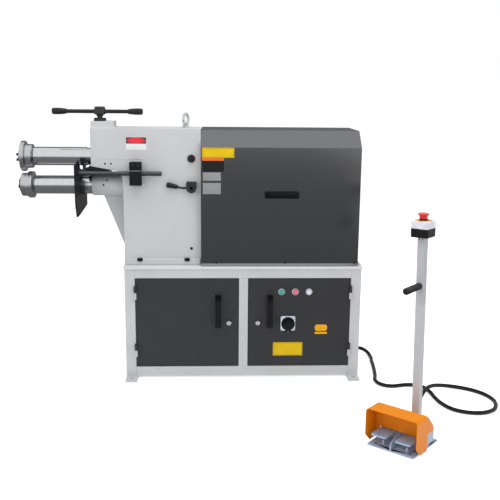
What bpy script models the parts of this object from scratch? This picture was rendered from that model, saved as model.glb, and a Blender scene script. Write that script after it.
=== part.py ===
"""Electric bead roller on its cabinet, with the foot switch station that drives it.

Lengths are metres and +Z is up. The pieces are laid out from the cabinet's front left corner on the floor:
X runs along the machine to the right, Y runs back, and the rolls hang out past the left end. The last section
moves the whole assembly so that its origin is under its middle.
"""

import math

import bmesh
import bpy
from mathutils import Vector

# Clearances and overruns
SEAT_GAP = 0.0003
OVERRUN = 0.004
WELD_LAP = 0.0015
ROUND_SIDES = 28
FINE_SIDES = 40
SMALL_SIDES = 16

# Cabinet
CABINET_WIDTH = 1.050
CABINET_DEPTH = 0.460
CABINET_TOP = 0.5054
SHEET = 0.002
POST_WIDTH = 0.045
POST_DEPTH = 0.040
POST_WALL = 0.003
CENTRE_POST_LEFT = 0.5052
CENTRE_POST_WIDTH = 0.0403
TOP_RAIL_HEIGHT = 0.0405
BOTTOM_RAIL_HEIGHT = 0.045
TABLE_THICKNESS = 0.012
TABLE_OVERHANG = 0.0035
FOOT_THICKNESS = 0.010
FOOT_WIDTH = 0.052
FOOT_REACH = 0.054
FOOT_HOLE_RADIUS = 0.011
FOOT_HOLE_SETBACK = 0.026

# Doors, their hinges and what is on them
DOOR_GAP = 0.0022
DOOR_DEPTH = 0.020
HINGE_RADIUS = 0.006
HINGE_PIN_RADIUS = 0.003
HINGE_HALF = 0.030
HINGE_STAND_OFF = 0.0065
HINGE_LEAF_WIDTH = 0.014
HINGE_LEAF = 0.0025
HINGE_INTO_DOOR_GAP = 0.0012
LOWER_HINGE_HEIGHT = 0.1345
UPPER_HINGE_HEIGHT = 0.4000
HANDLE_LENGTH = 0.150
HANDLE_WIDTH = 0.026
HANDLE_STAND_OUT = 0.038
HANDLE_BAR = 0.012
HANDLE_FOOT = 0.020
HANDLE_SHOULDER_SHARE = 0.62
HANDLE_INNER_SHARE = 0.7
HANDLE_MIDDLE_HEIGHT = 0.3125
LEFT_HANDLE_FROM_POST = 0.0925
RIGHT_HANDLE_FROM_POST = 0.0975
LOCK_RADIUS = 0.0125
LOCK_HEIGHT = 0.260
LOCK_FROM_POST = 0.0445
LOCK_STAND_OUT = 0.007
LOCK_SHANK_RADIUS = 0.009
LOCK_CAM_LENGTH = 0.054
LOCK_CAM_WIDTH = 0.016
LOCK_CAM_THICKNESS = 0.003
LOCK_CAM_BEHIND_POST = 0.0015
BUTTON_HEIGHT = 0.4024
START_BUTTON_X = 0.6951
BUTTON_PITCH = 0.0612
BUTTON_RADIUS = 0.0115
BUTTON_STAND_OUT = 0.011
BUTTON_SHANK = 0.040
SWITCH_X = 0.7260
SWITCH_HEIGHT = 0.2555
SWITCH_RADIUS = 0.0285
SWITCH_STAND_OUT = 0.030
SWITCH_PLATE = 0.006
SWITCH_SHANK_RADIUS = 0.006

# Electrical plate inside the right compartment
PANEL_FROM_CENTRE_POST = 0.090
PANEL_FROM_SIDE_PANEL = 0.0525
PANEL_UNDER_CABINET_TOP = 0.1154
PANEL_FOOT = 0.090
PANEL_THICKNESS = 0.004
DRIVE_UNIT_DEPTH = 0.110
CONTACTOR_DEPTH = 0.080
TRANSFORMER_DEPTH = 0.090
UNIT_MARGIN_SHARE = 5 / 72
DRIVE_UNIT_SHARES = (24 / 72, 36 / 60)
CONTACTOR_SHARES = (11 / 72, 17 / 60)
TRANSFORMER_SHARES = (18 / 72, 16 / 60)

# Machine frame, a welded box with an arm over the throat. Heights over or under the shaft, here and in the
# sections below, count from the lower shaft
FRAME_SETBACK = 0.0425
FRAME_DEPTH = 0.180
FRAME_RIGHT = 0.337
FRAME_TOP_OVER_SHAFT = 0.2545
ARM_LEFT = -0.1365
ARM_LOW_LEFT_OVER_SHAFT = 0.0910
ARM_LOW_RIGHT_OVER_SHAFT = 0.0705
THROAT_X = -0.0226
THROAT_CORNER_DROP = 0.010
COLUMN_SHOULDER = 0.030
FRAME_PLATE = 0.012
RAISED_BLOCK_WIDTH = 0.098
RAISED_BLOCK_DEPTH = 0.110
RAISED_BLOCK_HEIGHT = 0.0305
RAISED_BLOCK_OVERHANG = 0.002

# Shafts, bearings and gears
LOWER_SHAFT_OVER_TABLE = 0.3443
SHAFT_SPACING = 0.126
SHAFT_RADIUS = 0.0375
SHAFT_INNER_RADIUS = 0.025
SHAFT_NOSE_RADIUS = 0.022
SHAFT_END_CHAMFER = 0.002
SHAFT_STEP_X = -0.060
SHAFT_NOSE_LEFT = -0.447
RUN_GAP = 0.0003
HOUSING_RADIUS = 0.047
HOUSING_LENGTH = 0.1425
HOUSING_WALL = 0.0052
FRONT_BUSH_LENGTH = 0.060
GUSSET_THICKNESS = 0.012
GUSSET_REACH = 0.0965
GUSSET_FOOT_OVER_TABLE = 0.052
REAR_BEARING_RADIUS = 0.040
REAR_BEARING_LENGTH = 0.030
TRUNNION_X = 0.296
TRUNNION_PIN_RADIUS = 0.012
CARRIER_WIDTH = 0.050
CARRIER_HEIGHT = 0.096
CARRIER_SIDE_GAP = 0.001
SCREW_X = -0.1045
BEARING_BLOCK_LEFT = -0.1325
BEARING_BLOCK_WIDTH = 0.0745
BEARING_BLOCK_RISE = 0.070
BEARING_BLOCK_DROP = 0.057
BALL_RADIUS = 0.050
BALL_LENGTH = 0.036
KEEPER_LOW = 0.0645
KEEPER_THICKNESS = 0.0195
KEEPER_REACH = 0.030
GEAR_TEETH = 21
GEAR_X = 0.205
GEAR_WIDTH = 0.040
GEAR_ADDENDUM_SHARE = 0.80
GEAR_DEDENDUM_SHARE = 1.42
GEAR_TOOTH_SHARE = 0.435
PRESSURE_ANGLE = math.radians(20)

# Rolls: the upper one has its flange on the left, the lower one on the right
ROLL_RIGHT = -0.3945
ROLL_STEP_RIGHT = -0.4010
ROLL_CHAMFER = 0.0060
UPPER_ROLL_LEFT = -0.4495
UPPER_ROLL_SHOULDER = -0.4335
UPPER_RIM_RADIUS = 0.0665
UPPER_STEP_RADIUS = 0.0525
LOWER_ROLL_LEFT = -0.4530
LOWER_ROLL_SHOULDER = -0.4290
LOWER_NOSE_RADIUS = 0.0510
LOWER_RIM_RADIUS = 0.0585
ROLL_EDGE = 0.0025
ROLL_CAP_RADIUS = 0.034
ROLL_CAP_THICKNESS = 0.008
ROLL_SCREW_RADIUS = 0.006
ROLL_SCREW_HEAD = 0.008
ROLL_SCREW_CIRCLE = 0.016
ROLL_SCREW_COUNT = 3

# Pressure screw with its T handle
SCREW_RADIUS = 0.011
SCREW_POCKET = 0.010
SCREW_NUT_RADIUS = 0.026
SCREW_NUT_HEIGHT = 0.0105
NECK_GAP = 0.0035
NECK_RADIUS = 0.0125
HUB_RADIUS = 0.0235
HUB_CONE = 0.008
HUB_HEIGHT = 0.0435
T_BAR_RADIUS = 0.0072
T_BAR_LENGTH = 0.394
T_BAR_SHIFT = -0.010
GRIP_RADIUS = 0.013
GRIP_LENGTH = 0.063

# Drive inside the cover
COUPLING_RADIUS = 0.042
COUPLING_LENGTH = 0.084
COUPLING_GAP_TO_FRAME = 0.040
STUB_RADIUS = 0.020
STUB_LENGTH = 0.060
GEARBOX_SIZE = (0.190, 0.200, 0.225)
GEARBOX_ABOVE_SHAFT = 0.115
GEARBOX_BEVEL = 0.012
MOTOR_RADIUS = 0.088
MOTOR_LENGTH = 0.300
STAND_LENGTH = 0.230
STAND_WIDTH = 0.170
STAND_WALL = 0.010

# Cover
COVER_SETBACK = 0.0096
COVER_DEPTH = 0.4354
COVER_RIGHT = 1.0335
COVER_SHOULDER_OVER_SHAFT = 0.1780
COVER_TOP_OVER_SHAFT = 0.2470
COVER_CHAMFER = 0.0795
COVER_SHEET = 0.002
COVER_WINDOW_MARGIN = 0.016
COVER_WINDOW_HEIGHT = 0.110
COVER_HANDLE_X = 0.6900
COVER_HANDLE_HEIGHT_UNDER_SHAFT = 0.0258

# Eye bolt
EYE_X = 0.2702
EYE_WIRE = 0.0065
EYE_RADIUS = 0.0245
EYE_COLLAR_RADIUS = 0.017
EYE_COLLAR_HEIGHT = 0.006
EYE_TURN = math.radians(68)

# Fence in front of the throat
FENCE_ROD_RADIUS = 0.0098
FENCE_ROD_LEFT = -0.190
FENCE_ROD_RIGHT = 0.1687
FENCE_ROD_HEIGHT_OVER_SHAFT = 0.0622
FENCE_ROD_TO_FRAME = 0.020
CLAMP_LEFT = 0.0315
CLAMP_WIDTH = 0.0505
CLAMP_LOW_OVER_SHAFT = 0.0116
CLAMP_HIGH_OVER_SHAFT = 0.1117
CLAMP_DEPTH = 0.038
FENCE_PLATE = 0.006
FENCE_FRONT = -0.038
FENCE_FRONT_HIGH_OVER_SHAFT = 0.1020
FENCE_FRONT_LOW_UNDER_SHAFT = 0.0620
FENCE_TIP_FRONT = -0.012
FENCE_TIP_BACK = 0.040
FENCE_TIP_LOW_UNDER_SHAFT = 0.1230
FENCE_BACK = 0.247
FENCE_BACK_LOW_UNDER_SHAFT = 0.1050
FENCE_BACK_HIGH_OVER_SHAFT = 0.0500
FENCE_PEAK_DEPTH = 0.062
FENCE_PEAK_HIGH_OVER_SHAFT = 0.1150
FENCE_SHOULDER_DEPTH = 0.086
FENCE_SHOULDER_HIGH_OVER_SHAFT = 0.0760
FENCE_HOLE_RADIUS = 0.0425

# Lever in line with the lower shaft
LEVER_HUB_RADIUS = 0.022
LEVER_HUB_RISE = 0.027
LEVER_HUB_DEPTH = 0.024
LEVER_ARM_RADIUS = 0.0045
LEVER_GRIP_RADIUS = 0.012
LEVER_GRIP_START = 0.060
LEVER_LENGTH = 0.108
LEVER_RISE = 0.014
LEVER_SHANK_RADIUS = 0.010

# Foot switch station, in its own coordinates: X along its front edge, Y back, origin under the base's middle
STATION_X = 1.0988
STATION_Y = -0.6786
STATION_TURN = math.radians(-41.2)
BASE_WIDTH = 0.188
BASE_DEPTH = 0.197
BASE_THICKNESS = 0.006
BASE_HOLE_RADIUS = 0.0055
BASE_HOLE_INSET = 0.024
HOUSING_FRONT = 0.000
HOUSING_DEPTH = 0.0270
HOUSING_WIDTH = 0.186
HOUSING_HEIGHT = 0.082
RIB_THICKNESS = 0.005
RIB_HEIGHT = 0.049
RIB_FRONT = -0.0968
RIB_TOP_SHARES = (
    (0.20, 0.99),
    (0.43, 0.951),
    (0.59, 0.89),
    (0.75, 0.824),
    (0.866, 0.741),
    (0.943, 0.608),
    (0.986, 0.437),
)
GUARD_WIDTH = 0.210
GUARD_HEIGHT = 0.1435
GUARD_SHEET = 0.0025
GUARD_CORNER = 0.014
GUARD_FRONT = -0.0985
GUARD_ROOF_BACK = -0.021
GUARD_BACK = 0.0300
GUARD_SIDE_BACK = -0.011
GUARD_HOOD_LOW = 0.069
GUARD_HOOD_HIGH = 0.092
GUARD_TOE_HIGH = 0.040
GUARD_TOE_BACK = -0.064
GUARD_WALL_OVER_PEDALS = 0.0015
PEDAL_INNER = 0.018
PEDAL_WIDTH = 0.062
PEDAL_FRONT = -0.100
PEDAL_TOP = 0.050
PEDAL_THICKNESS = 0.006
PEDAL_PIVOT_RADIUS = 0.006
PEDAL_PIVOT_GAP = 0.0006
POLE_SIDE = 0.028
POLE_WALL = 0.002
POLE_X = 0.0236
POLE_Y = 0.060
POLE_TOP = 0.776
POLE_LEAN = math.radians(-1.2)
POLE_GRIP_HEIGHT = 0.597
POLE_GRIP_RADIUS = 0.0125
POLE_GRIP_LENGTH = 0.108
POLE_GRIP_FLANGE = 0.004
STOP_BOX_WIDTH = 0.068
STOP_BOX_DEPTH = 0.066
STOP_BOX_HEIGHT = 0.059
STOP_BOX_BEVEL = 0.003
STOP_STEM_RADIUS = 0.013
STOP_STEM_LENGTH = 0.010
STOP_HEAD_RADIUS = 0.0203
STOP_HEAD_HEIGHT = 0.0175
STOP_HEAD_TOP_SHARE = 0.86
STOP_HEAD_UNDERSIDE_SHARE = 0.94
STOP_HEAD_RIM_SHARE = 0.70
STOP_TRAVEL = 0.006
STOP_SHANK = 0.020

# Cable between the cabinet and the station
CABLE_RADIUS = 0.0085
CABLE_STEP = 0.034
CABLE_LEAD = 0.020
GLAND_RADIUS = 0.017
GLAND_NECK_RADIUS = 0.0125
GLAND_LENGTH = 0.028
GLAND_Y = 0.320
GLAND_HEIGHT = 0.031
POLE_GLAND_HEIGHT = 0.030
POLE_GLAND_LENGTH = 0.020
POLE_GLAND_RADIUS = 0.0138
CABLE_ROUTE = (
    (1.1158, 0.3162, 0.0294),
    (1.1314, 0.3079, 0.0259),
    (1.1440, 0.2954, 0.0208),
    (1.1525, 0.2789, 0.0150),
    (1.1567, 0.2567, 0.0097),
    (1.1563, 0.2230, 0.0090),
    (1.1504, 0.1822, 0.0090),
    (1.1479, 0.1420, 0.0090),
    (1.1435, 0.1019, 0.0090),
    (1.1394, 0.0620, 0.0090),
    (1.1333, 0.0219, 0.0090),
    (1.1279, -0.0173, 0.0090),
    (1.1186, -0.0572, 0.0090),
    (1.1250, -0.1013, 0.0090),
    (1.1494, -0.1294, 0.0090),
    (1.1866, -0.1381, 0.0090),
    (1.2411, -0.1249, 0.0090),
    (1.2855, -0.1303, 0.0090),
    (1.3159, -0.1581, 0.0090),
    (1.3287, -0.2094, 0.0090),
    (1.3331, -0.2754, 0.0090),
    (1.3459, -0.3411, 0.0090),
    (1.3753, -0.3965, 0.0090),
    (1.4279, -0.4286, 0.0090),
    (1.4876, -0.4329, 0.0090),
    (1.5369, -0.4065, 0.0090),
    (1.5639, -0.3629, 0.0090),
    (1.5745, -0.3099, 0.0090),
    (1.5633, -0.2537, 0.0090),
    (1.5319, -0.2048, 0.0090),
    (1.4861, -0.1701, 0.0096),
    (1.4334, -0.1593, 0.0147),
    (1.3826, -0.1637, 0.0209),
    (1.3409, -0.1858, 0.0272),
    (1.3078, -0.2191, 0.0260),
    (1.2791, -0.2600, 0.0168),
    (1.2535, -0.3052, 0.0098),
    (1.2341, -0.3560, 0.0090),
    (1.2213, -0.3998, 0.0090),
    (1.2109, -0.4394, 0.0090),
    (1.2088, -0.4791, 0.0094),
    (1.2140, -0.5175, 0.0132),
    (1.2171, -0.5576, 0.0239),
)

# Driving sizes end here. What follows is worked out from them
TABLE_TOP = CABINET_TOP + SEAT_GAP + TABLE_THICKNESS
POST_FOOT = FOOT_THICKNESS / 2
DOOR_LOW = FOOT_THICKNESS + BOTTOM_RAIL_HEIGHT + DOOR_GAP
DOOR_HIGH = CABINET_TOP - TOP_RAIL_HEIGHT - DOOR_GAP
CENTRE_POST_RIGHT = CENTRE_POST_LEFT + CENTRE_POST_WIDTH
FRAME_LOW = TABLE_TOP + SEAT_GAP
LOWER_SHAFT_HEIGHT = TABLE_TOP + LOWER_SHAFT_OVER_TABLE
FRAME_TOP = LOWER_SHAFT_HEIGHT + FRAME_TOP_OVER_SHAFT
ARM_LOW_LEFT = LOWER_SHAFT_HEIGHT + ARM_LOW_LEFT_OVER_SHAFT
ARM_LOW_RIGHT = LOWER_SHAFT_HEIGHT + ARM_LOW_RIGHT_OVER_SHAFT
COVER_SHOULDER = LOWER_SHAFT_HEIGHT + COVER_SHOULDER_OVER_SHAFT
COVER_TOP = LOWER_SHAFT_HEIGHT + COVER_TOP_OVER_SHAFT
FENCE_ROD_HEIGHT = LOWER_SHAFT_HEIGHT + FENCE_ROD_HEIGHT_OVER_SHAFT
CLAMP_LOW = LOWER_SHAFT_HEIGHT + CLAMP_LOW_OVER_SHAFT
CLAMP_HIGH = LOWER_SHAFT_HEIGHT + CLAMP_HIGH_OVER_SHAFT
FENCE_FRONT_HIGH = LOWER_SHAFT_HEIGHT + FENCE_FRONT_HIGH_OVER_SHAFT
FENCE_BACK_HIGH = LOWER_SHAFT_HEIGHT + FENCE_BACK_HIGH_OVER_SHAFT
FENCE_PEAK_HIGH = LOWER_SHAFT_HEIGHT + FENCE_PEAK_HIGH_OVER_SHAFT
FENCE_SHOULDER_HIGH = LOWER_SHAFT_HEIGHT + FENCE_SHOULDER_HIGH_OVER_SHAFT
COVER_HANDLE_HEIGHT = LOWER_SHAFT_HEIGHT - COVER_HANDLE_HEIGHT_UNDER_SHAFT
FENCE_FRONT_LOW = LOWER_SHAFT_HEIGHT - FENCE_FRONT_LOW_UNDER_SHAFT
FENCE_TIP_LOW = LOWER_SHAFT_HEIGHT - FENCE_TIP_LOW_UNDER_SHAFT
FENCE_BACK_LOW = LOWER_SHAFT_HEIGHT - FENCE_BACK_LOW_UNDER_SHAFT
FRAME_FRONT = FRAME_SETBACK
FRAME_BACK = FRAME_FRONT + FRAME_DEPTH
FRAME_INSIDE_FRONT = FRAME_FRONT + FRAME_PLATE + SEAT_GAP
FRAME_INSIDE_BACK = FRAME_BACK - FRAME_PLATE - SEAT_GAP
SHAFT_Y = FRAME_FRONT + FRAME_DEPTH / 2
UPPER_SHAFT_HEIGHT = LOWER_SHAFT_HEIGHT + SHAFT_SPACING
COUPLING_LEFT = FRAME_RIGHT + COUPLING_GAP_TO_FRAME
COUPLING_MIDDLE = COUPLING_LEFT + COUPLING_LENGTH / 2
GEARBOX_LEFT = COUPLING_LEFT + COUPLING_LENGTH + OVERRUN
MOTOR_LEFT = GEARBOX_LEFT + GEARBOX_SIZE[0] + SEAT_GAP

parts = bpy.data.collections.new("electric_bead_roller")
cutters = bpy.data.collections.new("cutters")
places = {}


def clear_scene():
    """Removes whatever the file opened with, and adds the two collections."""
    for obj in list(bpy.data.objects):
        bpy.data.objects.remove(obj, do_unlink=True)
    bpy.context.scene.collection.children.link(parts)
    bpy.context.scene.collection.children.link(cutters)


def finish(name, colour, roughness, metallic):
    """One material, with a Principled shader of this colour, roughness and metallic value."""
    made = bpy.data.materials.new(name)
    made.use_nodes = True
    shader = made.node_tree.nodes["Principled BSDF"]
    shader.inputs["Base Color"].default_value = (*colour, 1)
    shader.inputs["Roughness"].default_value = roughness
    shader.inputs["Metallic"].default_value = metallic
    return made


def frame_empty(name, at, on=None):
    """An empty that carries pieces. Each is still placed in the coordinates that the empty stands in."""
    empty = bpy.data.objects.new(name, None)
    parts.objects.link(empty)
    empty.parent = on
    empty.location = Vector(at) - places.get(on, Vector())
    places[empty] = Vector(at)
    return empty


def piece(name, form, at, material, on):
    """Makes an object of a bmesh that is built about its own middle, and puts that middle at a place."""
    mesh = bpy.data.meshes.new(name)
    form.to_mesh(mesh)
    form.free()
    mesh.materials.append(material)
    obj = bpy.data.objects.new(name, mesh)
    parts.objects.link(obj)
    obj.parent = on
    obj.location = Vector(at) - places[on]
    return obj


def smooth(obj):
    """Shades a round piece smooth and keeps its edges sharp."""
    obj.data.shade_smooth()
    obj.data.set_sharp_from_angle(angle=math.radians(35))
    return obj


def block(name, low, high, material, on):
    """A box between its lowest and its highest corner."""
    low, high = Vector(low), Vector(high)
    form = bmesh.new()
    bmesh.ops.create_cube(form, size=1)
    bmesh.ops.scale(form, vec=high - low, verts=form.verts)
    return piece(name, form, (low + high) / 2, material, on)


def rod(name, start, end, radius, material, on, sides=ROUND_SIDES):
    """A cylinder from one point to another."""
    start, end = Vector(start), Vector(end)
    form = bmesh.new()
    bmesh.ops.create_cone(
        form, cap_ends=True, segments=sides, radius1=radius, radius2=radius, depth=(end - start).length
    )
    obj = piece(name, form, (start + end) / 2, material, on)
    obj.rotation_euler = (end - start).to_track_quat("Z", "Y").to_euler()
    return smooth(obj)


def turned(name, profile, at, axis, material, on, closed=False, sides=ROUND_SIDES):
    """A turned piece: a profile of (radius, distance along the axis) points, running down its outer side."""
    form = bmesh.new()
    points = [form.verts.new((radius, 0, along)) for radius, along in profile]
    for first, second in zip(points, points[1:]):
        form.edges.new((first, second))
    if closed:
        form.edges.new((points[-1], points[0]))
    obj = piece(name, form, at, material, on)
    screw = obj.modifiers.new("turning", "SCREW")
    screw.angle = 2 * math.pi
    screw.steps = sides
    screw.render_steps = sides
    screw.use_merge_vertices = True
    screw.merge_threshold = 0.00001
    screw.use_smooth_shade = True
    obj.rotation_euler = Vector(axis).to_track_quat("Z", "Y").to_euler()
    return obj


def circle(across, up, radius, sides=ROUND_SIDES):
    """The points of a round hole in an outline."""
    turns = (2 * math.pi * step / sides for step in range(sides))
    return [(across + radius * math.cos(turn), up + radius * math.sin(turn)) for turn in turns]


def meshed(curve_object):
    """Replaces a curve object by a mesh object of the same name, with its caps welded on."""
    bpy.context.view_layer.update()
    graph = bpy.context.evaluated_depsgraph_get()
    mesh = bpy.data.meshes.new_from_object(curve_object.evaluated_get(graph))
    form = bmesh.new()
    form.from_mesh(mesh)
    bmesh.ops.remove_doubles(form, verts=form.verts, dist=SEAT_GAP / 10)
    form.to_mesh(mesh)
    form.free()
    name = curve_object.name
    curve_object.name = name + "_curve"
    made = bpy.data.objects.new(name, mesh)
    parts.objects.link(made)
    made.parent = curve_object.parent
    made.location = curve_object.location
    made.rotation_euler = curve_object.rotation_euler
    bpy.data.objects.remove(curve_object, do_unlink=True)
    return made


def flat(name, outline, facing, middle, thickness, material, on, holes=()):
    """A plate of an outline, in (Y, Z) where it faces X, in (X, Z) where it faces Y, and else in (X, Y)."""
    curve = bpy.data.curves.new(name, "CURVE")
    curve.dimensions = "2D"
    curve.fill_mode = "BOTH"
    curve.extrude = thickness / 2
    for points in (outline, *holes):
        spline = curve.splines.new("POLY")
        spline.points.add(len(points) - 1)
        for point, (across, up) in zip(spline.points, points):
            point.co = (across, up, 0, 1)
        spline.use_cyclic_u = True
    curve.materials.append(material)
    obj = bpy.data.objects.new(name, curve)
    parts.objects.link(obj)
    obj.parent = on
    turns = {"X": (math.pi / 2, 0, math.pi / 2), "Y": (math.pi / 2, 0, 0), "Z": (0, 0, 0)}
    shifts = {"X": (middle, 0, 0), "Y": (0, middle, 0), "Z": (0, 0, middle)}
    obj.rotation_euler = turns[facing]
    obj.location = Vector(shifts[facing]) - places[on]
    return meshed(obj)


def helper(obj):
    """Turns an object into a cutter or a piece that is joined to another: it isn't rendered by itself."""
    parts.objects.unlink(obj)
    cutters.objects.link(obj)
    obj.hide_render = True
    obj.display_type = "WIRE"
    return obj


def boolean(obj, other, operation):
    """Cuts with, joins on or keeps what is common with another object."""
    change = obj.modifiers.new(operation.lower(), "BOOLEAN")
    change.operation = operation
    change.solver = "EXACT"
    change.object = helper(other)


def cut(obj, *others):
    for other in others:
        boolean(obj, other, "DIFFERENCE")


def join(obj, *others):
    for other in others:
        boolean(obj, other, "UNION")


def rounded(obj, width, segments=2):
    """Rounds the edges of a piece."""
    bevel = obj.modifiers.new("edges", "BEVEL")
    bevel.width = width
    bevel.segments = segments
    bevel.limit_method = "ANGLE"


def tube_bar(name, low, high, wall, along, material, on):
    """A square tube with open ends, along X or Z."""
    bar = block(name, low, high, material, on)
    inner_low = [value + wall for value in low]
    inner_high = [value - wall for value in high]
    inner_low["XYZ".index(along)] = low["XYZ".index(along)] - OVERRUN
    inner_high["XYZ".index(along)] = high["XYZ".index(along)] + OVERRUN
    cut(bar, block(name + "_inside", inner_low, inner_high, material, on))
    return bar


def cabinet(on):
    """Welded cabinet: square tube front, sheet sides, back and floor, plate feet and the table on top."""
    low = FOOT_THICKNESS
    right = CABINET_WIDTH
    for side, left, hinge_at in (
        ("left", 0, POST_WIDTH + HINGE_INTO_DOOR_GAP),
        ("right", right - POST_WIDTH, right - POST_WIDTH - HINGE_INTO_DOOR_GAP),
    ):
        post = tube_bar(
            f"post_{side}",
            (left, 0, low - POST_FOOT),
            (left + POST_WIDTH, POST_DEPTH, CABINET_TOP),
            POST_WALL,
            "Z",
            frame_paint,
            on,
        )
        foot_left = -SEAT_GAP if side == "left" else right - FOOT_WIDTH + SEAT_GAP
        foot_right = foot_left + FOOT_WIDTH
        middle = (foot_left + foot_right) / 2
        foot = block(
            f"foot_{side}",
            (foot_left, -FOOT_REACH, 0),
            (foot_right, POST_DEPTH, FOOT_THICKNESS),
            frame_paint,
            on,
        )
        hole = rod(
            f"foot_hole_{side}",
            (middle, -FOOT_HOLE_SETBACK, -OVERRUN),
            (middle, -FOOT_HOLE_SETBACK, FOOT_THICKNESS + OVERRUN),
            FOOT_HOLE_RADIUS,
            frame_paint,
            on,
        )
        join(post, foot)
        cut(post, hole)
        toward_post = -1 if side == "left" else 1
        for height in (LOWER_HINGE_HEIGHT, UPPER_HINGE_HEIGHT):
            leaf_ends = sorted((hinge_at, hinge_at + toward_post * HINGE_LEAF_WIDTH))
            leaf = block(
                f"hinge_leaf_{side}_{height}",
                (leaf_ends[0], -HINGE_LEAF, height - HINGE_HALF),
                (leaf_ends[1], WELD_LAP, height - SEAT_GAP),
                frame_paint,
                on,
            )
            post_edge = left + POST_WIDTH if side == "left" else left
            lip_edges = sorted((post_edge, post_edge - toward_post * DOOR_GAP * 2))
            lip = block(
                f"hinge_lip_{side}_{height}",
                (lip_edges[0], -SEAT_GAP, height - HINGE_HALF - OVERRUN),
                (lip_edges[1], WELD_LAP + OVERRUN, height + OVERRUN),
                frame_paint,
                on,
            )
            cut(leaf, lip)
            barrel = rod(
                f"hinge_barrel_{side}_{height}",
                (hinge_at, -HINGE_STAND_OFF, height - HINGE_HALF),
                (hinge_at, -HINGE_STAND_OFF, height - SEAT_GAP),
                HINGE_RADIUS,
                frame_paint,
                on,
                SMALL_SIDES,
            )
            pin = rod(
                f"hinge_pin_{side}_{height}",
                (hinge_at, -HINGE_STAND_OFF, height - HINGE_HALF / 2),
                (hinge_at, -HINGE_STAND_OFF, height + HINGE_HALF - OVERRUN),
                HINGE_PIN_RADIUS,
                frame_paint,
                on,
                SMALL_SIDES,
            )
            join(post, leaf, barrel, pin)
        inner = left if side == "left" else right - SHEET
        panel = block(
            f"side_panel_{side}",
            (inner, POST_DEPTH + SEAT_GAP, low - POST_FOOT),
            (inner + SHEET, CABINET_DEPTH, CABINET_TOP),
            frame_paint,
            on,
        )
        rear_foot = block(
            f"rear_foot_{side}",
            (foot_left, CABINET_DEPTH - POST_DEPTH, 0),
            (foot_right, CABINET_DEPTH + FOOT_REACH, FOOT_THICKNESS),
            frame_paint,
            on,
        )
        rear_hole = rod(
            f"rear_foot_hole_{side}",
            (middle, CABINET_DEPTH + FOOT_HOLE_SETBACK, -OVERRUN),
            (middle, CABINET_DEPTH + FOOT_HOLE_SETBACK, FOOT_THICKNESS + OVERRUN),
            FOOT_HOLE_RADIUS,
            frame_paint,
            on,
        )
        join(panel, rear_foot)
        cut(panel, rear_hole)
    inside_left = POST_WIDTH + SEAT_GAP
    inside_right = right - POST_WIDTH - SEAT_GAP
    rail_top_low = CABINET_TOP - TOP_RAIL_HEIGHT
    rail_bottom_high = low + BOTTOM_RAIL_HEIGHT
    tube_bar(
        "rail_top",
        (inside_left, 0, rail_top_low),
        (inside_right, POST_DEPTH, CABINET_TOP),
        POST_WALL,
        "X",
        frame_paint,
        on,
    )
    bottom_rail = block(
        "cabinet_floor",
        (inside_left, 0, low + SEAT_GAP),
        (inside_right, SHEET, rail_bottom_high),
        frame_paint,
        on,
    )
    floor = block(
        "floor_sheet",
        (SHEET + SEAT_GAP, POST_DEPTH + SEAT_GAP, low + SEAT_GAP),
        (right - SHEET - SEAT_GAP, CABINET_DEPTH - SHEET - SEAT_GAP, low + SEAT_GAP + SHEET),
        frame_paint,
        on,
    )
    floor_front = block(
        "floor_front_strip",
        (inside_left, WELD_LAP / 2, low + SEAT_GAP),
        (inside_right, POST_DEPTH + OVERRUN, low + SEAT_GAP + SHEET),
        frame_paint,
        on,
    )
    rail_flange = block(
        "bottom_rail_flange",
        (inside_left, WELD_LAP / 2, rail_bottom_high - SHEET),
        (inside_right, POST_DEPTH, rail_bottom_high),
        frame_paint,
        on,
    )
    join(bottom_rail, floor_front, floor, rail_flange)
    tube_bar(
        "post_centre",
        (CENTRE_POST_LEFT, 0, rail_bottom_high + SEAT_GAP),
        (CENTRE_POST_RIGHT, POST_DEPTH, rail_top_low - SEAT_GAP),
        POST_WALL,
        "Z",
        frame_paint,
        on,
    )
    block(
        "cabinet_back",
        (SHEET + SEAT_GAP, CABINET_DEPTH - SHEET, low + SEAT_GAP),
        (right - SHEET - SEAT_GAP, CABINET_DEPTH, CABINET_TOP),
        frame_paint,
        on,
    )
    block(
        "table_plate",
        (-TABLE_OVERHANG, -TABLE_OVERHANG, CABINET_TOP + SEAT_GAP),
        (right + TABLE_OVERHANG, CABINET_DEPTH + TABLE_OVERHANG, TABLE_TOP),
        frame_paint,
        on,
    )


def bridge_handle(name, middle, upright, out_of, on):
    """A moulded bridge handle. Its outline runs along its length and out from the panel it is screwed to."""
    half = HANDLE_LENGTH / 2
    inner = half - HANDLE_FOOT
    inside = HANDLE_STAND_OUT - HANDLE_BAR
    face = out_of - SEAT_GAP
    outline = (
        (-half, 0),
        (-half, HANDLE_STAND_OUT * HANDLE_SHOULDER_SHARE),
        (-half + HANDLE_FOOT / 2, HANDLE_STAND_OUT),
        (half - HANDLE_FOOT / 2, HANDLE_STAND_OUT),
        (half, HANDLE_STAND_OUT * HANDLE_SHOULDER_SHARE),
        (half, 0),
        (inner, 0),
        (inner, inside * HANDLE_INNER_SHARE),
        (inner - HANDLE_FOOT / 4, inside),
        (-inner + HANDLE_FOOT / 4, inside),
        (-inner, inside * HANDLE_INNER_SHARE),
        (-inner, 0),
    )
    across, height = middle
    if upright:
        points = [(face - out, height + along) for along, out in outline]
        return flat(name, points, "X", across, HANDLE_WIDTH, black_plastic, on)
    points = [(across + along, face - out) for along, out in outline]
    return flat(name, points, "Z", height, HANDLE_WIDTH, black_plastic, on)


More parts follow.
